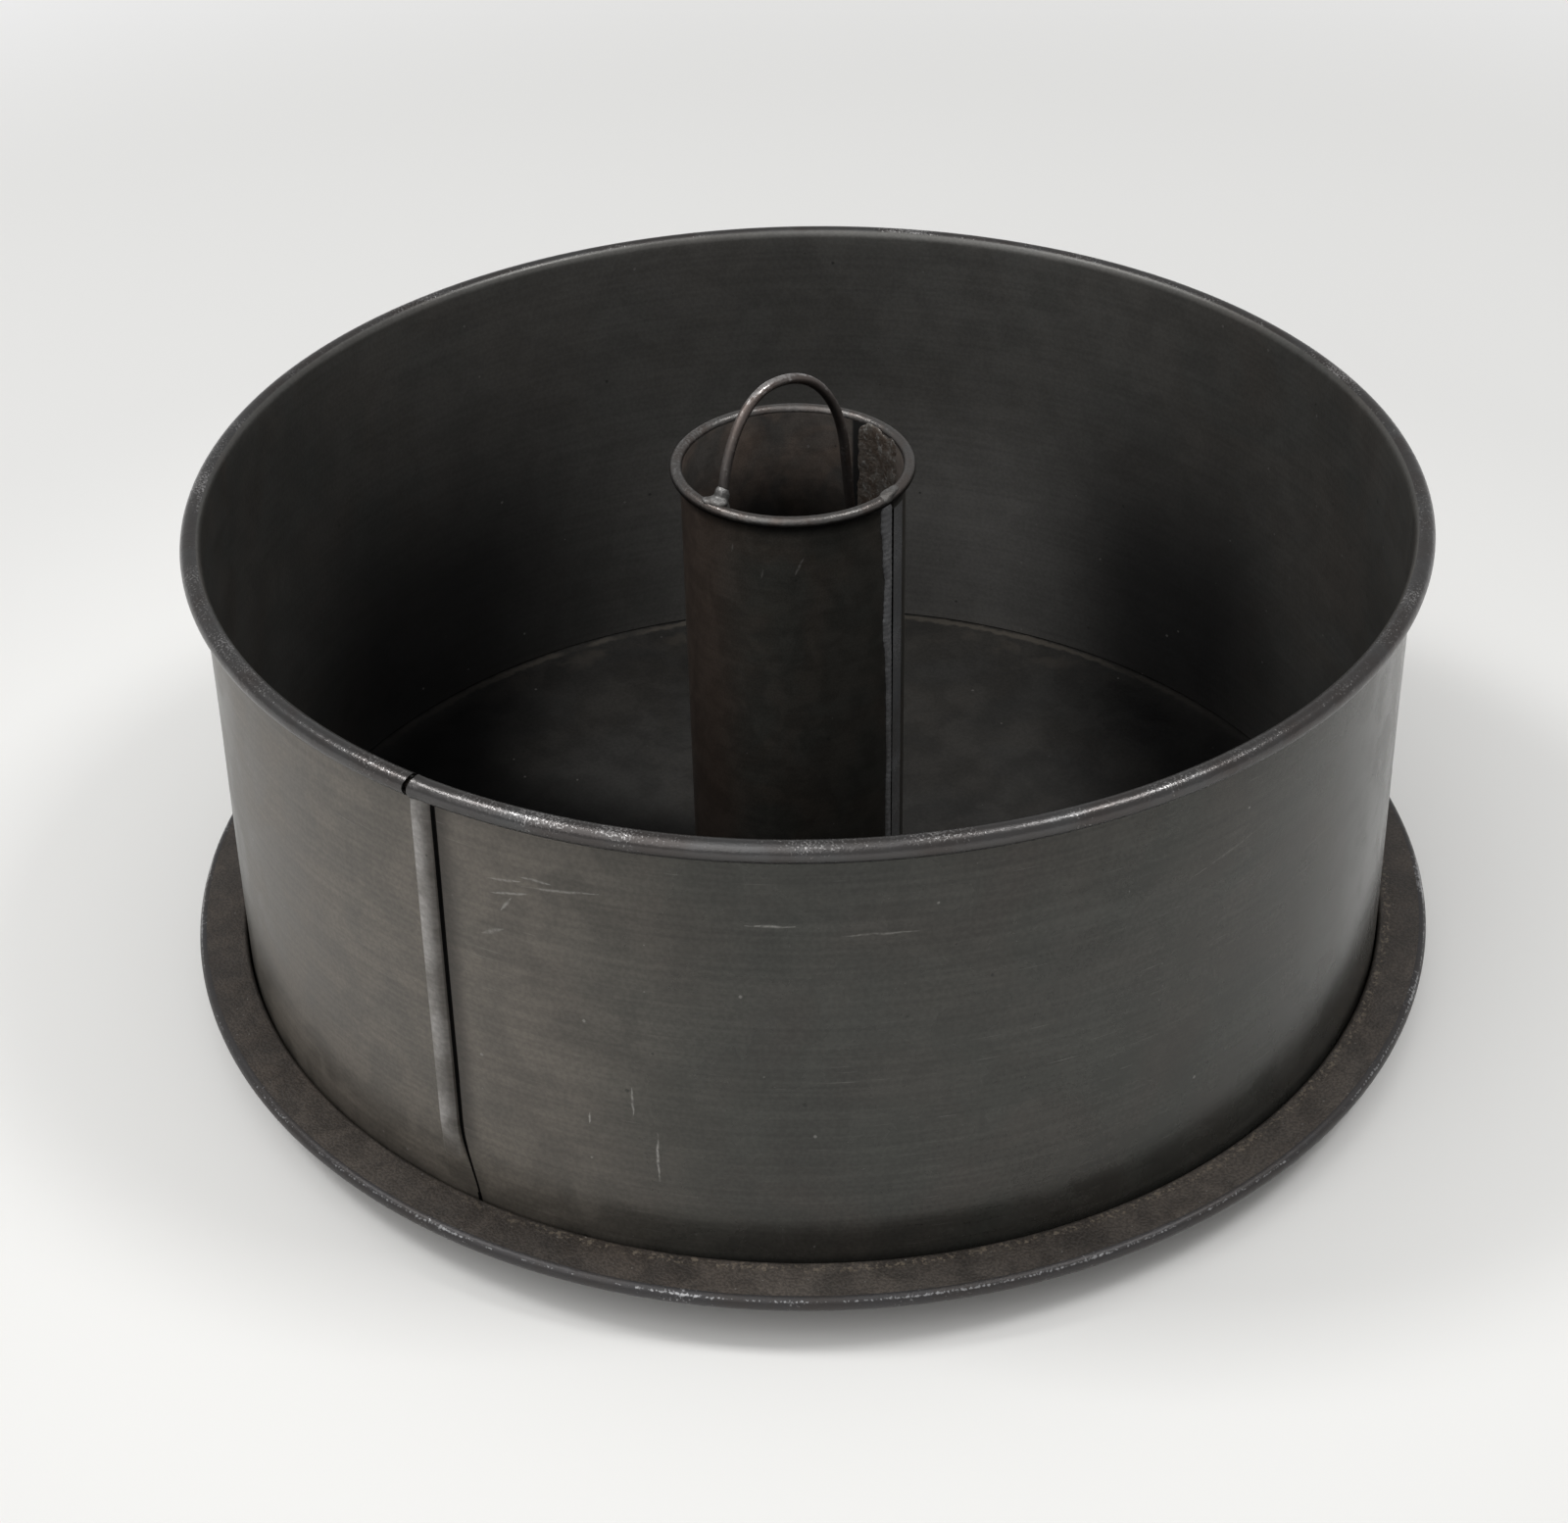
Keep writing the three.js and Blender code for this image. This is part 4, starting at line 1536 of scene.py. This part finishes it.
@dataclass
class BaseDish(WiredEdge):
    """The base: a flat floor, an upright side that the hoop nests in and a wired flange."""

    gauge: Gauge
    hoop: SideHoop
    tube: CentreTube
    nest_clearance: float = 0.15 * MM
    flange_width: float = 9.2 * MM
    height: float = 12 * MM
    wire: float = 1.4 * MM
    floor_bend: float = 0.5 * MM
    flange_bend: float = 0.25 * MM
    bend_steps: int = 6
    floor_ring: float = 40 * MM
    floor_rings: int = 10
    floor_slope: float = 0.2
    steps: int = 288

    @property
    def inside(self) -> float:
        """Inside radius of the upright side."""
        return self.hoop.inner(self.hoop.seat) + self.gauge.sheet + self.nest_clearance

    @property
    def bead_ring(self) -> float:
        """Radius of the edge wire's ring."""
        return self.inside + self.gauge.sheet + self.flange_width - self.bead

    @property
    def bead_height(self) -> float:
        """Height of the edge wire."""
        return self.height - self.bead

    def section(self) -> list[Spot]:
        """Section from the floor's underside round the flange to the floor's top.

        Returns:
            The section's points, which start and end at the floor ring.
        """
        sheet, quarter = self.gauge.sheet, math.pi / 2
        corner = (self.inside - self.floor_bend, sheet + self.floor_bend)
        crest = (self.inside + sheet + self.flange_bend, self.height - sheet - self.flange_bend)
        radii = [mixed(self.floor_ring, corner[0], i / self.floor_rings) for i in range(self.floor_rings)]
        under = [(r, 0.0) for r in radii]
        under += arc_spots(corner, self.floor_bend + sheet, -quarter, 0, self.bend_steps)
        under += arc_spots(crest, self.flange_bend, math.pi, quarter, self.bend_steps)
        curl = self.curl(quarter)
        over = arc_spots(crest, self.flange_bend + sheet, quarter, math.pi, self.bend_steps)
        over += arc_spots(corner, self.floor_bend, 0, -quarter, self.bend_steps)
        over += [(r, sheet) for r in reversed(radii)]
        return under + curl[::-1] + over

    def zone(self, face: bmesh.types.BMFace) -> DishZone:
        """Place of a face's material: flange, side and underside, floor or wired edge.

        Args:
            face: A face of the dish.

        Returns:
            The material's place.
        """
        centre = face.calc_center_median()
        radius = math.hypot(centre.x, centre.y)
        if radius > self.bead_ring:
            return DishZone.EDGE
        on_floor = radius < self.inside and face.normal.z > self.floor_slope
        return DishZone.FLOOR if on_floor else DishZone.FLANGE

    def tube_hole(self, bm: bmesh.types.BMesh) -> None:
        """Joins the floor to the hole that the tube stands in, which is off the pan's axis.

        Args:
            bm: The turned dish, whose floor stops at the floor ring.
        """
        rims = {z: [] for z in (0.0, self.gauge.sheet)}
        for edge in [edge for edge in bm.edges if len(edge.link_faces) == 1]:
            height = min(rims, key=lambda z: abs(edge.verts[0].co.z - z))
            rims[height].append(edge)
        holes = []
        for height, rim in rims.items():
            centre = Matrix.Translation(self.tube.axis + UP * height)
            radius = self.tube.outer + self.gauge.fit
            made = bmesh.ops.create_circle(bm, segments=self.steps, radius=radius, matrix=centre)
            hole = list({edge for vert in made["verts"] for edge in vert.link_edges})
            bmesh.ops.bridge_loops(bm, edges=rim + hole)
            holes += hole
        bmesh.ops.bridge_loops(bm, edges=holes)

    def build(self, finishes: Finishes) -> None:
        """Makes the dish and its edge wire.

        Args:
            finishes: The pan's materials.
        """
        bm = bmesh.new()
        turn_section(bm, self.section(), 0, 2 * math.pi, self.steps, closed=False)
        bmesh.ops.remove_doubles(bm, verts=bm.verts[:], dist=MERGE_DISTANCE)
        self.tube_hole(bm)
        close_seams(bm)
        lay_zones(bm, self.zone)
        mesh = to_mesh(bm, "base_pan")
        materials = (finishes.flange, finishes.floor, finishes.base_edge)
        settle(mesh, Body.BASE, Slot.BASE_SHEET, "base_dish", materials)
        self.lay_wire("base_edge_wire", Body.BASE, "base_rim_wire", finishes.edge_wire)


@dataclass
class LiftingLoop:
    """The bent wire that the base is lifted by. Its back leg leans in from its foot."""

    tube: CentreTube
    wire: float = 2 * MM
    rise: float = 17.8 * MM
    peak_shift: float = -6 * MM
    front_gap: float = 0.5 * MM
    front_spring: float = 1.9 * MM
    front_leg: float = 16 * MM
    back_gap: float = 2.2 * MM
    back_spring: float = 3.6 * MM
    back_leg: float = 26 * MM
    back_lean: float = 2.7 * MM
    quarter_handle: float = 0.5523
    bend_points: int = 40
    leg_points: int = 8
    sides: int = 20
    waver: float = 0.05 * MM
    waver_sizes: tuple[float, float] = (6 * MM, 7 * MM)

    @property
    def front_reach(self) -> float:
        """Distance of the front leg from the tube's axis."""
        return self.tube.inside - self.front_gap - self.wire / 2

    @property
    def back_reach(self) -> float:
        """Distance of the back leg's foot from the tube's axis."""
        return self.tube.inside - self.back_gap - self.wire / 2

    def path(self) -> list[Vector]:
        """Middle line of the wire, from the front leg's foot over the peak to the back leg's foot.

        Returns:
            Points in the tube's own frame.
        """
        def point(y: float, z: float) -> Vector:
            """Point of the loop's plane."""
            return Vector((0, y, z))

        top, handle = self.tube.height, self.quarter_handle
        peak = point(self.peak_shift, top + self.rise)
        front_foot = point(-self.front_reach, top - self.front_leg)
        front = point(-self.front_reach, top - self.front_spring)
        back_foot = point(self.back_reach, top - self.back_leg)
        back = point(self.back_reach - self.back_lean, top - self.back_spring)
        leg = (back - back_foot) / (back.z - back_foot.z)
        front_arc = interpolate_bezier(
            front, front + UP * handle * (peak.z - front.z),
            point(mixed(peak.y, front.y, handle), peak.z), peak, self.bend_points)
        back_arc = interpolate_bezier(
            peak, point(mixed(peak.y, back.y, handle), peak.z),
            back + leg * handle * (peak.z - back.z), back, self.bend_points)
        shares = [i / self.leg_points for i in range(self.leg_points)]
        front_run = [front_foot.lerp(front, share) for share in shares]
        back_run = [back_foot.lerp(back, share) for share in reversed(shares)]
        return front_run + front_arc + back_arc[1:] + back_run

    def frames(self) -> list[Matrix]:
        """Places of the wire's round section along its path.

        Returns:
            One matrix for each ring, with its Z along the wire.
        """
        points = self.path()
        frames = []
        side = Vector((1, 0, 0))
        for i, point in enumerate(points):
            ahead = points[min(i + 1, len(points) - 1)]
            behind = points[max(i - 1, 0)]
            along = (ahead - behind).normalized()
            across = along.cross(side)
            sway = Vector((*(noise.noise(point / size) for size in self.waver_sizes), 0)) * self.waver
            turn = Matrix((side, across, along)).transposed().to_4x4()
            frames.append(Matrix.Translation(self.tube.axis + point + sway) @ turn)
        return frames

    def build(self, finishes: Finishes) -> None:
        """Draws the wire's section along its path.

        Args:
            finishes: The pan's materials.
        """
        bm = bmesh.new()
        frames = self.frames()
        ring = bmesh.ops.create_circle(
            bm, cap_ends=True, segments=self.sides, radius=self.wire / 2, matrix=frames[0])["verts"]
        edges = list({edge for vert in ring for edge in vert.link_edges})
        for before, after in zip(frames, frames[1:]):
            grown = bmesh.ops.extrude_edge_only(bm, edges=edges)["geom"]
            ring = [item for item in grown if isinstance(item, bmesh.types.BMVert)]
            kept = set(ring)
            edges = [item for item in grown
                     if isinstance(item, bmesh.types.BMEdge) and kept.issuperset(item.verts)]
            bmesh.ops.transform(bm, matrix=after @ before.inverted(), verts=ring)
        close_seams(bm)
        mesh = to_mesh(bm, "lifting_loop_wire")
        settle(mesh, Body.BASE, Slot.LOOP_WIRE, "lifting_loop", (finishes.loop_wire,))


@dataclass(frozen=True)
class Lump:
    """One flattened drop of solder on the tube: where it lies and its half sizes."""

    bearing: float
    radius: float
    height: float
    outward: float
    around: float
    tall: float

    def matrix(self, axis: Vector) -> Matrix:
        """Place and size of the drop.

        Args:
            axis: Foot of the axis of its tube.

        Returns:
            The matrix that makes a ball of radius 1 into the drop.
        """
        turn = Matrix.Rotation(self.bearing, 4, "Z")
        out = Matrix.Translation((self.radius, 0, self.height))
        size = Matrix.Diagonal((self.outward, self.around, self.tall, 1))
        return Matrix.Translation(axis) @ turn @ out @ size


@dataclass
class SolderWork:
    """The solder that holds the loop, closes the tube's seams and seals its foot."""

    gauge: Gauge
    tube: CentreTube
    loop: LiftingLoop
    voxel: float = 0.22 * MM
    smooth_rounds: int = 6
    rim_bearing: float = math.radians(4)
    seam_width: float = 3.4 * MM
    seam_pitch: float = 1.3 * MM
    seam_inset: float = 1.2 * MM
    seam_thick: float = 0.75 * MM
    seam_tall: float = 1.6 * MM
    seam_off: float = 0.1 * MM
    seam_noise: tuple[tuple[float, float, float, float], ...] = (
        (9 * MM, 0.4, 1.7, 0.35),
        (3 * MM, 5.4, 0.7, 0.15),
    )
    seam_narrow: float = 0.4
    seam_full: tuple[float, float] = (50 * MM, 100 * MM)
    smear_bearing: float = math.radians(76.5)
    smear_width: float = 10 * MM
    smear_height: float = 22 * MM
    smear_drop: float = 1.6 * MM
    smear_inset: float = 1.5 * MM
    smear_rows: int = 13
    smear_columns: int = 6
    smear_drop_size: float = 2.2 * MM
    smear_thick: tuple[float, float] = (0.28 * MM, 0.5 * MM)
    smear_uneven: float = 0.14 * MM
    smear_sink: float = 0.25 * MM
    smear_sway: float = 0.7 * MM
    smear_ragged: float = 1.4 * MM
    smear_noise: tuple[Spot, Spot] = ((0.3 * MM, 2.2 * MM), (4.1 * MM, 3.7 * MM))
    foot_width: float = 2.5 * MM
    foot_height: float = 2 * MM
    foot_gap: float = 0.02 * MM
    foot_steps: int = 8
    foot_lump: float = 0.18 * MM
    foot_lump_size: float = 4 * MM
    drop_sides: int = 16

    def melt(self, name: str, lumps: Iterable[Lump]) -> bpy.types.Mesh:
        """Runs drops of solder together into one smooth body.

        Args:
            name: Name of the mesh.
            lumps: The drops, each of which meets another.

        Returns:
            The mesh.
        """
        bm = bmesh.new()
        for lump in lumps:
            bmesh.ops.create_uvsphere(
                bm, u_segments=self.drop_sides, v_segments=self.drop_sides // 2, radius=1,
                matrix=lump.matrix(self.tube.axis))
        drops = place_object(to_mesh(bm, name))
        remesh = drops.modifiers.new("run together", "REMESH")
        remesh.mode = "VOXEL"
        remesh.voxel_size = self.voxel
        ease = drops.modifiers.new("ease", "SMOOTH")
        ease.iterations = self.smooth_rounds
        made = bpy.data.meshes.new_from_object(drops.evaluated_get(bpy.context.evaluated_depsgraph_get()))
        bpy.data.meshes.remove(drops.data)
        bm = bmesh.new()
        bm.from_mesh(made)
        bpy.data.meshes.remove(made)
        return to_mesh(bm, name)

    def front_lumps(self) -> list[Lump]:
        """Drops round the front leg's foot, spread over the bead.

        Returns:
            The drops.
        """
        bearing, top = -math.pi / 2, self.tube.height
        leg, ring = self.loop.front_reach, self.tube.bead_ring
        return [
            Lump(bearing, leg + 0.3 * MM, top - 2.0 * MM, 1.1 * MM, 1.7 * MM, 2.6 * MM),
            Lump(bearing, leg + 0.3 * MM, top + 0.8 * MM, 1.4 * MM, 1.5 * MM, 1.9 * MM),
            Lump(bearing, mixed(leg, ring, 0.6), top - 0.1 * MM, 1.7 * MM, 2.2 * MM, 1.0 * MM),
            Lump(bearing - 0.07, ring - 0.2 * MM, top - 0.2 * MM, 1.1 * MM, 1.6 * MM, 0.7 * MM),
        ]

    def back_lumps(self) -> list[Lump]:
        """Drops that cradle the back leg's foot and are smeared up the inside of the tube.

        Returns:
            The drops.
        """
        foot = self.tube.height - self.loop.back_leg
        middle = (self.loop.back_reach + self.tube.inside) / 2
        drops = [Lump(math.pi / 2, middle, foot + 3 * MM, 1.7 * MM, 2.6 * MM, 3 * MM)]
        top = self.tube.height - self.smear_drop
        rows, columns = self.smear_rows, self.smear_columns
        for i in range(rows * columns):
            row, column = divmod(i, columns)
            share = (column + 0.5) / columns
            across = mixed(-self.smear_width / 2, self.smear_width / 2, share)
            height = mixed(top - self.smear_inset, top - self.smear_height, row / rows)
            uneven, ragged = (noise.noise(Vector((across, height, layer)) / size)
                              for layer, size in self.smear_noise)
            bearing = self.smear_bearing + (across + self.smear_sway * ragged) / self.tube.inside
            thick = mixed(*self.smear_thick, share) + self.smear_uneven * uneven
            radius = self.tube.inside + self.smear_sink - thick
            rise, size = height + self.smear_ragged * ragged, self.smear_drop_size
            drops.append(Lump(bearing, radius, rise, thick, size, size))
        return drops

    def rim_lumps(self) -> list[Lump]:
        """Drops over the joint in the tube's bead.

        Returns:
            The drops.
        """
        ring, top = self.tube.bead_ring, self.tube.height
        return [
            Lump(self.rim_bearing, ring, top - 0.3 * MM, 1.2 * MM, 2.6 * MM, 0.75 * MM),
            Lump(self.rim_bearing - 0.05, ring + 0.6 * MM, top - 0.9 * MM, 0.75 * MM, 1.8 * MM, 0.9 * MM),
            Lump(self.rim_bearing + 0.09, ring - 0.1 * MM, top - 0.3 * MM, 1.0 * MM, 1.5 * MM, 0.5 * MM),
        ]

    def seam_lumps(self) -> list[Lump]:
        """Drops smeared along the free edge of the lap, with an uneven outer edge.

        Returns:
            The drops.
        """
        drops = []
        low, high = self.tube.lap_bottom, self.tube.lap_top
        count = round((high - low) / self.seam_pitch)
        for i in range(count + 1):
            height = mixed(low + self.seam_inset, high - self.seam_inset, i / count)
            uneven = sum(depth * noise.noise(Vector((height / size, row, layer)))
                         for size, row, layer, depth in self.seam_noise)
            narrowed = mixed(self.seam_narrow, 1.0, smooth_share(height, *self.seam_full))
            half = self.seam_width / 2 * narrowed * (1 + uneven)
            bearing = self.tube.lap_start - (half + self.seam_off) / self.tube.outer
            drops.append(Lump(bearing, self.tube.outer, height, self.seam_thick, half, self.seam_tall))
        return drops

    def foot_ring(self) -> bpy.types.Mesh:
        """Hollow fillet of solder round the tube's foot.

        Returns:
            The mesh.
        """
        inner, low = self.tube.outer + self.foot_gap, self.gauge.sheet + self.foot_gap
        centre = (inner + self.foot_width, low + self.foot_height)
        hollow = [(centre[0] - self.foot_width * math.cos(a), centre[1] - self.foot_height * math.sin(a))
                  for a in [mixed(math.pi / 2, 0, i / self.foot_steps) for i in range(self.foot_steps + 1)]]
        bm = bmesh.new()
        turn_section(bm, [(inner, low), *hollow], 0, 2 * math.pi, self.tube.steps)
        close_seams(bm)
        for vert in bm.verts:
            lump = noise.noise(vert.co / self.foot_lump_size) * self.foot_lump
            rise = max(0.0, vert.co.z - low) / self.foot_height
            vert.co += Vector((vert.co.x, vert.co.y, 0)).normalized() * lump * (1 - rise) + UP * lump * rise
        return to_mesh(bm, "tube_foot_fillet", shift=self.tube.axis)

    def build(self, finishes: Finishes) -> None:
        """Makes every solder joint.

        Args:
            finishes: The pan's materials.
        """
        melted = (
            ("front_loop_joint", self.front_lumps(), "loop_solder_front", finishes.solder),
            ("back_loop_joint", self.back_lumps(), "loop_solder_back", finishes.old_solder),
            ("tube_bead_joint", self.rim_lumps(), "tube_rim_solder", finishes.solder),
            ("tube_lap_joint", self.seam_lumps(), "tube_seam_solder", finishes.lap_solder),
        )
        for name, lumps, node, finish in melted:
            settle(self.melt(name, lumps), Body.BASE, Slot.SOLDER, node, (finish,))
        settle(self.foot_ring(), Body.BASE, Slot.SOLDER, "tube_foot_solder", (finishes.solder,))


@dataclass
class PhotoCamera:
    """The camera, at the photograph's place and angle."""

    azimuth: float = math.radians(42)
    elevation: float = math.radians(35.05)
    roll: float = math.radians(-1.19)
    distance: float = 554.19 * MM
    side: float = -5.2 * MM
    target_height: float = 36.65 * MM
    lens: float = 62.0
    sensor: float = 36.0

    def build(self) -> None:
        """Makes the camera and gives it to the scene."""
        turn = Matrix.Rotation(self.azimuth, 3, "Z")
        right = turn @ Vector((1, 0, 0))
        ahead = turn @ Vector((0, math.cos(self.elevation), -math.sin(self.elevation)))
        up = right.cross(ahead)
        target = right * self.side + UP * self.target_height
        rolled_right = right * math.cos(self.roll) + up * math.sin(self.roll)
        rolled_up = up * math.cos(self.roll) - right * math.sin(self.roll)
        data = bpy.data.cameras.new("photo camera")
        data.lens = self.lens
        data.sensor_width = self.sensor
        camera = place_object(data)
        axes = Matrix((rolled_right, rolled_up, -ahead)).transposed().to_4x4()
        camera.matrix_world = Matrix.Translation(target - ahead * self.distance) @ axes
        bpy.context.scene.camera = camera


@dataclass(frozen=True)
class Softbox:
    """A square soft lamp that hangs round the pan and faces it."""

    name: str
    bearing: float
    elevation: float
    distance: float
    size: float
    power: float


@dataclass
class Studio:
    """Pale floor with painted light, soft lamps and even surrounding light. Bearings are from the camera's
    right.
    """

    camera: PhotoCamera
    floor_size: float = 12.0
    floor_roughness: float = 0.75
    # Painted light: the floor is lighter near the pan, where it offsets the pan's shade, darker in the middle
    # ring and lighter far off, which stands for the room's light.
    near_colour: Colour = (0.845, 0.84, 0.823)
    middle_colour: Colour = (0.725, 0.722, 0.71)
    far_colour: Colour = (0.92, 0.92, 0.925)
    near_ring: tuple[float, float] = (0.15, 0.3)
    far_ring: tuple[float, float] = (0.45, 0.8)
    ambient: float = 0.455
    lamps: tuple[Softbox, ...] = (
        Softbox("front window", math.radians(237), math.radians(48), 2.2, 2.0, 15.5),
        Softbox("left ceiling panel", math.radians(177), math.radians(57), 2.0, 0.42, 10.0),
        Softbox("right ceiling panel", math.radians(-9), math.radians(61), 2.0, 0.45, 9.4),
        Softbox("top panel", math.radians(270), math.radians(82), 2.0, 1.6, 4.0),
    )

    def floor_material(self) -> bpy.types.Material:
        """Pale floor with painted light: lighter round the pan and far from it.

        Returns:
            The material.
        """
        made, graph = new_material("pale floor with painted light")
        place = graph.add("ShaderNodeTexCoord", {}).outputs["Object"]
        away = graph.measure("LENGTH", place)
        past_near = graph.remap(away, *self.near_ring)
        past_middle = graph.remap(away, *self.far_ring)
        inner = graph.mix(past_near, rgba(self.near_colour), rgba(self.middle_colour))
        colour = graph.mix(past_middle, inner, rgba(self.far_colour))
        graph.dress({"Base Color": colour, "Roughness": self.floor_roughness})
        return made

    def build(self) -> None:
        """Makes the floor, the lamps and the surrounding light."""
        bm = bmesh.new()
        bmesh.ops.create_grid(bm, x_segments=1, y_segments=1, size=self.floor_size / 2)
        floor = place_object(to_mesh(bm, "floor"))
        floor.data.materials.append(self.floor_material())
        for lamp in self.lamps:
            self.hang(lamp)
        world = bpy.data.worlds.new("studio")
        world.use_nodes = True
        light = world.node_tree.nodes["Background"].inputs
        light["Strength"].default_value = self.ambient
        light["Color"].default_value = rgba((1.0, 1.0, 1.0))
        bpy.context.scene.world = world
        bpy.context.scene.view_settings.view_transform = "Standard"

    def hang(self, lamp: Softbox) -> None:
        """Hangs one lamp so that it faces the pan.

        Args:
            lamp: The lamp.
        """
        data = bpy.data.lights.new(lamp.name, "AREA")
        data.size = lamp.size
        data.energy = lamp.power
        bearing = lamp.bearing + self.camera.azimuth
        level = math.cos(lamp.elevation)
        outward = Vector((math.cos(bearing) * level, math.sin(bearing) * level, math.sin(lamp.elevation)))
        hung = place_object(data)
        hung.location = outward * lamp.distance
        hung.rotation_euler = outward.to_track_quat("Z", "Y").to_euler()


def main() -> None:
    """Loads the frame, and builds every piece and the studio."""
    logging.basicConfig(level=logging.INFO, format="%(name)s %(message)s")
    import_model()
    gauge = Gauge()
    hoop = SideHoop(gauge)
    tube = CentreTube(gauge)
    base = BaseDish(gauge, hoop, tube)
    loop = LiftingLoop(tube)
    solder = SolderWork(gauge, tube, loop)
    finishes = Finishes(Effects(), hoop, base, tube)
    for assembly in (solder, loop, tube, base, hoop):
        assembly.build(finishes)
    camera = PhotoCamera()
    camera.build()
    Studio(camera).build()


if __name__ == "__main__":
    main()
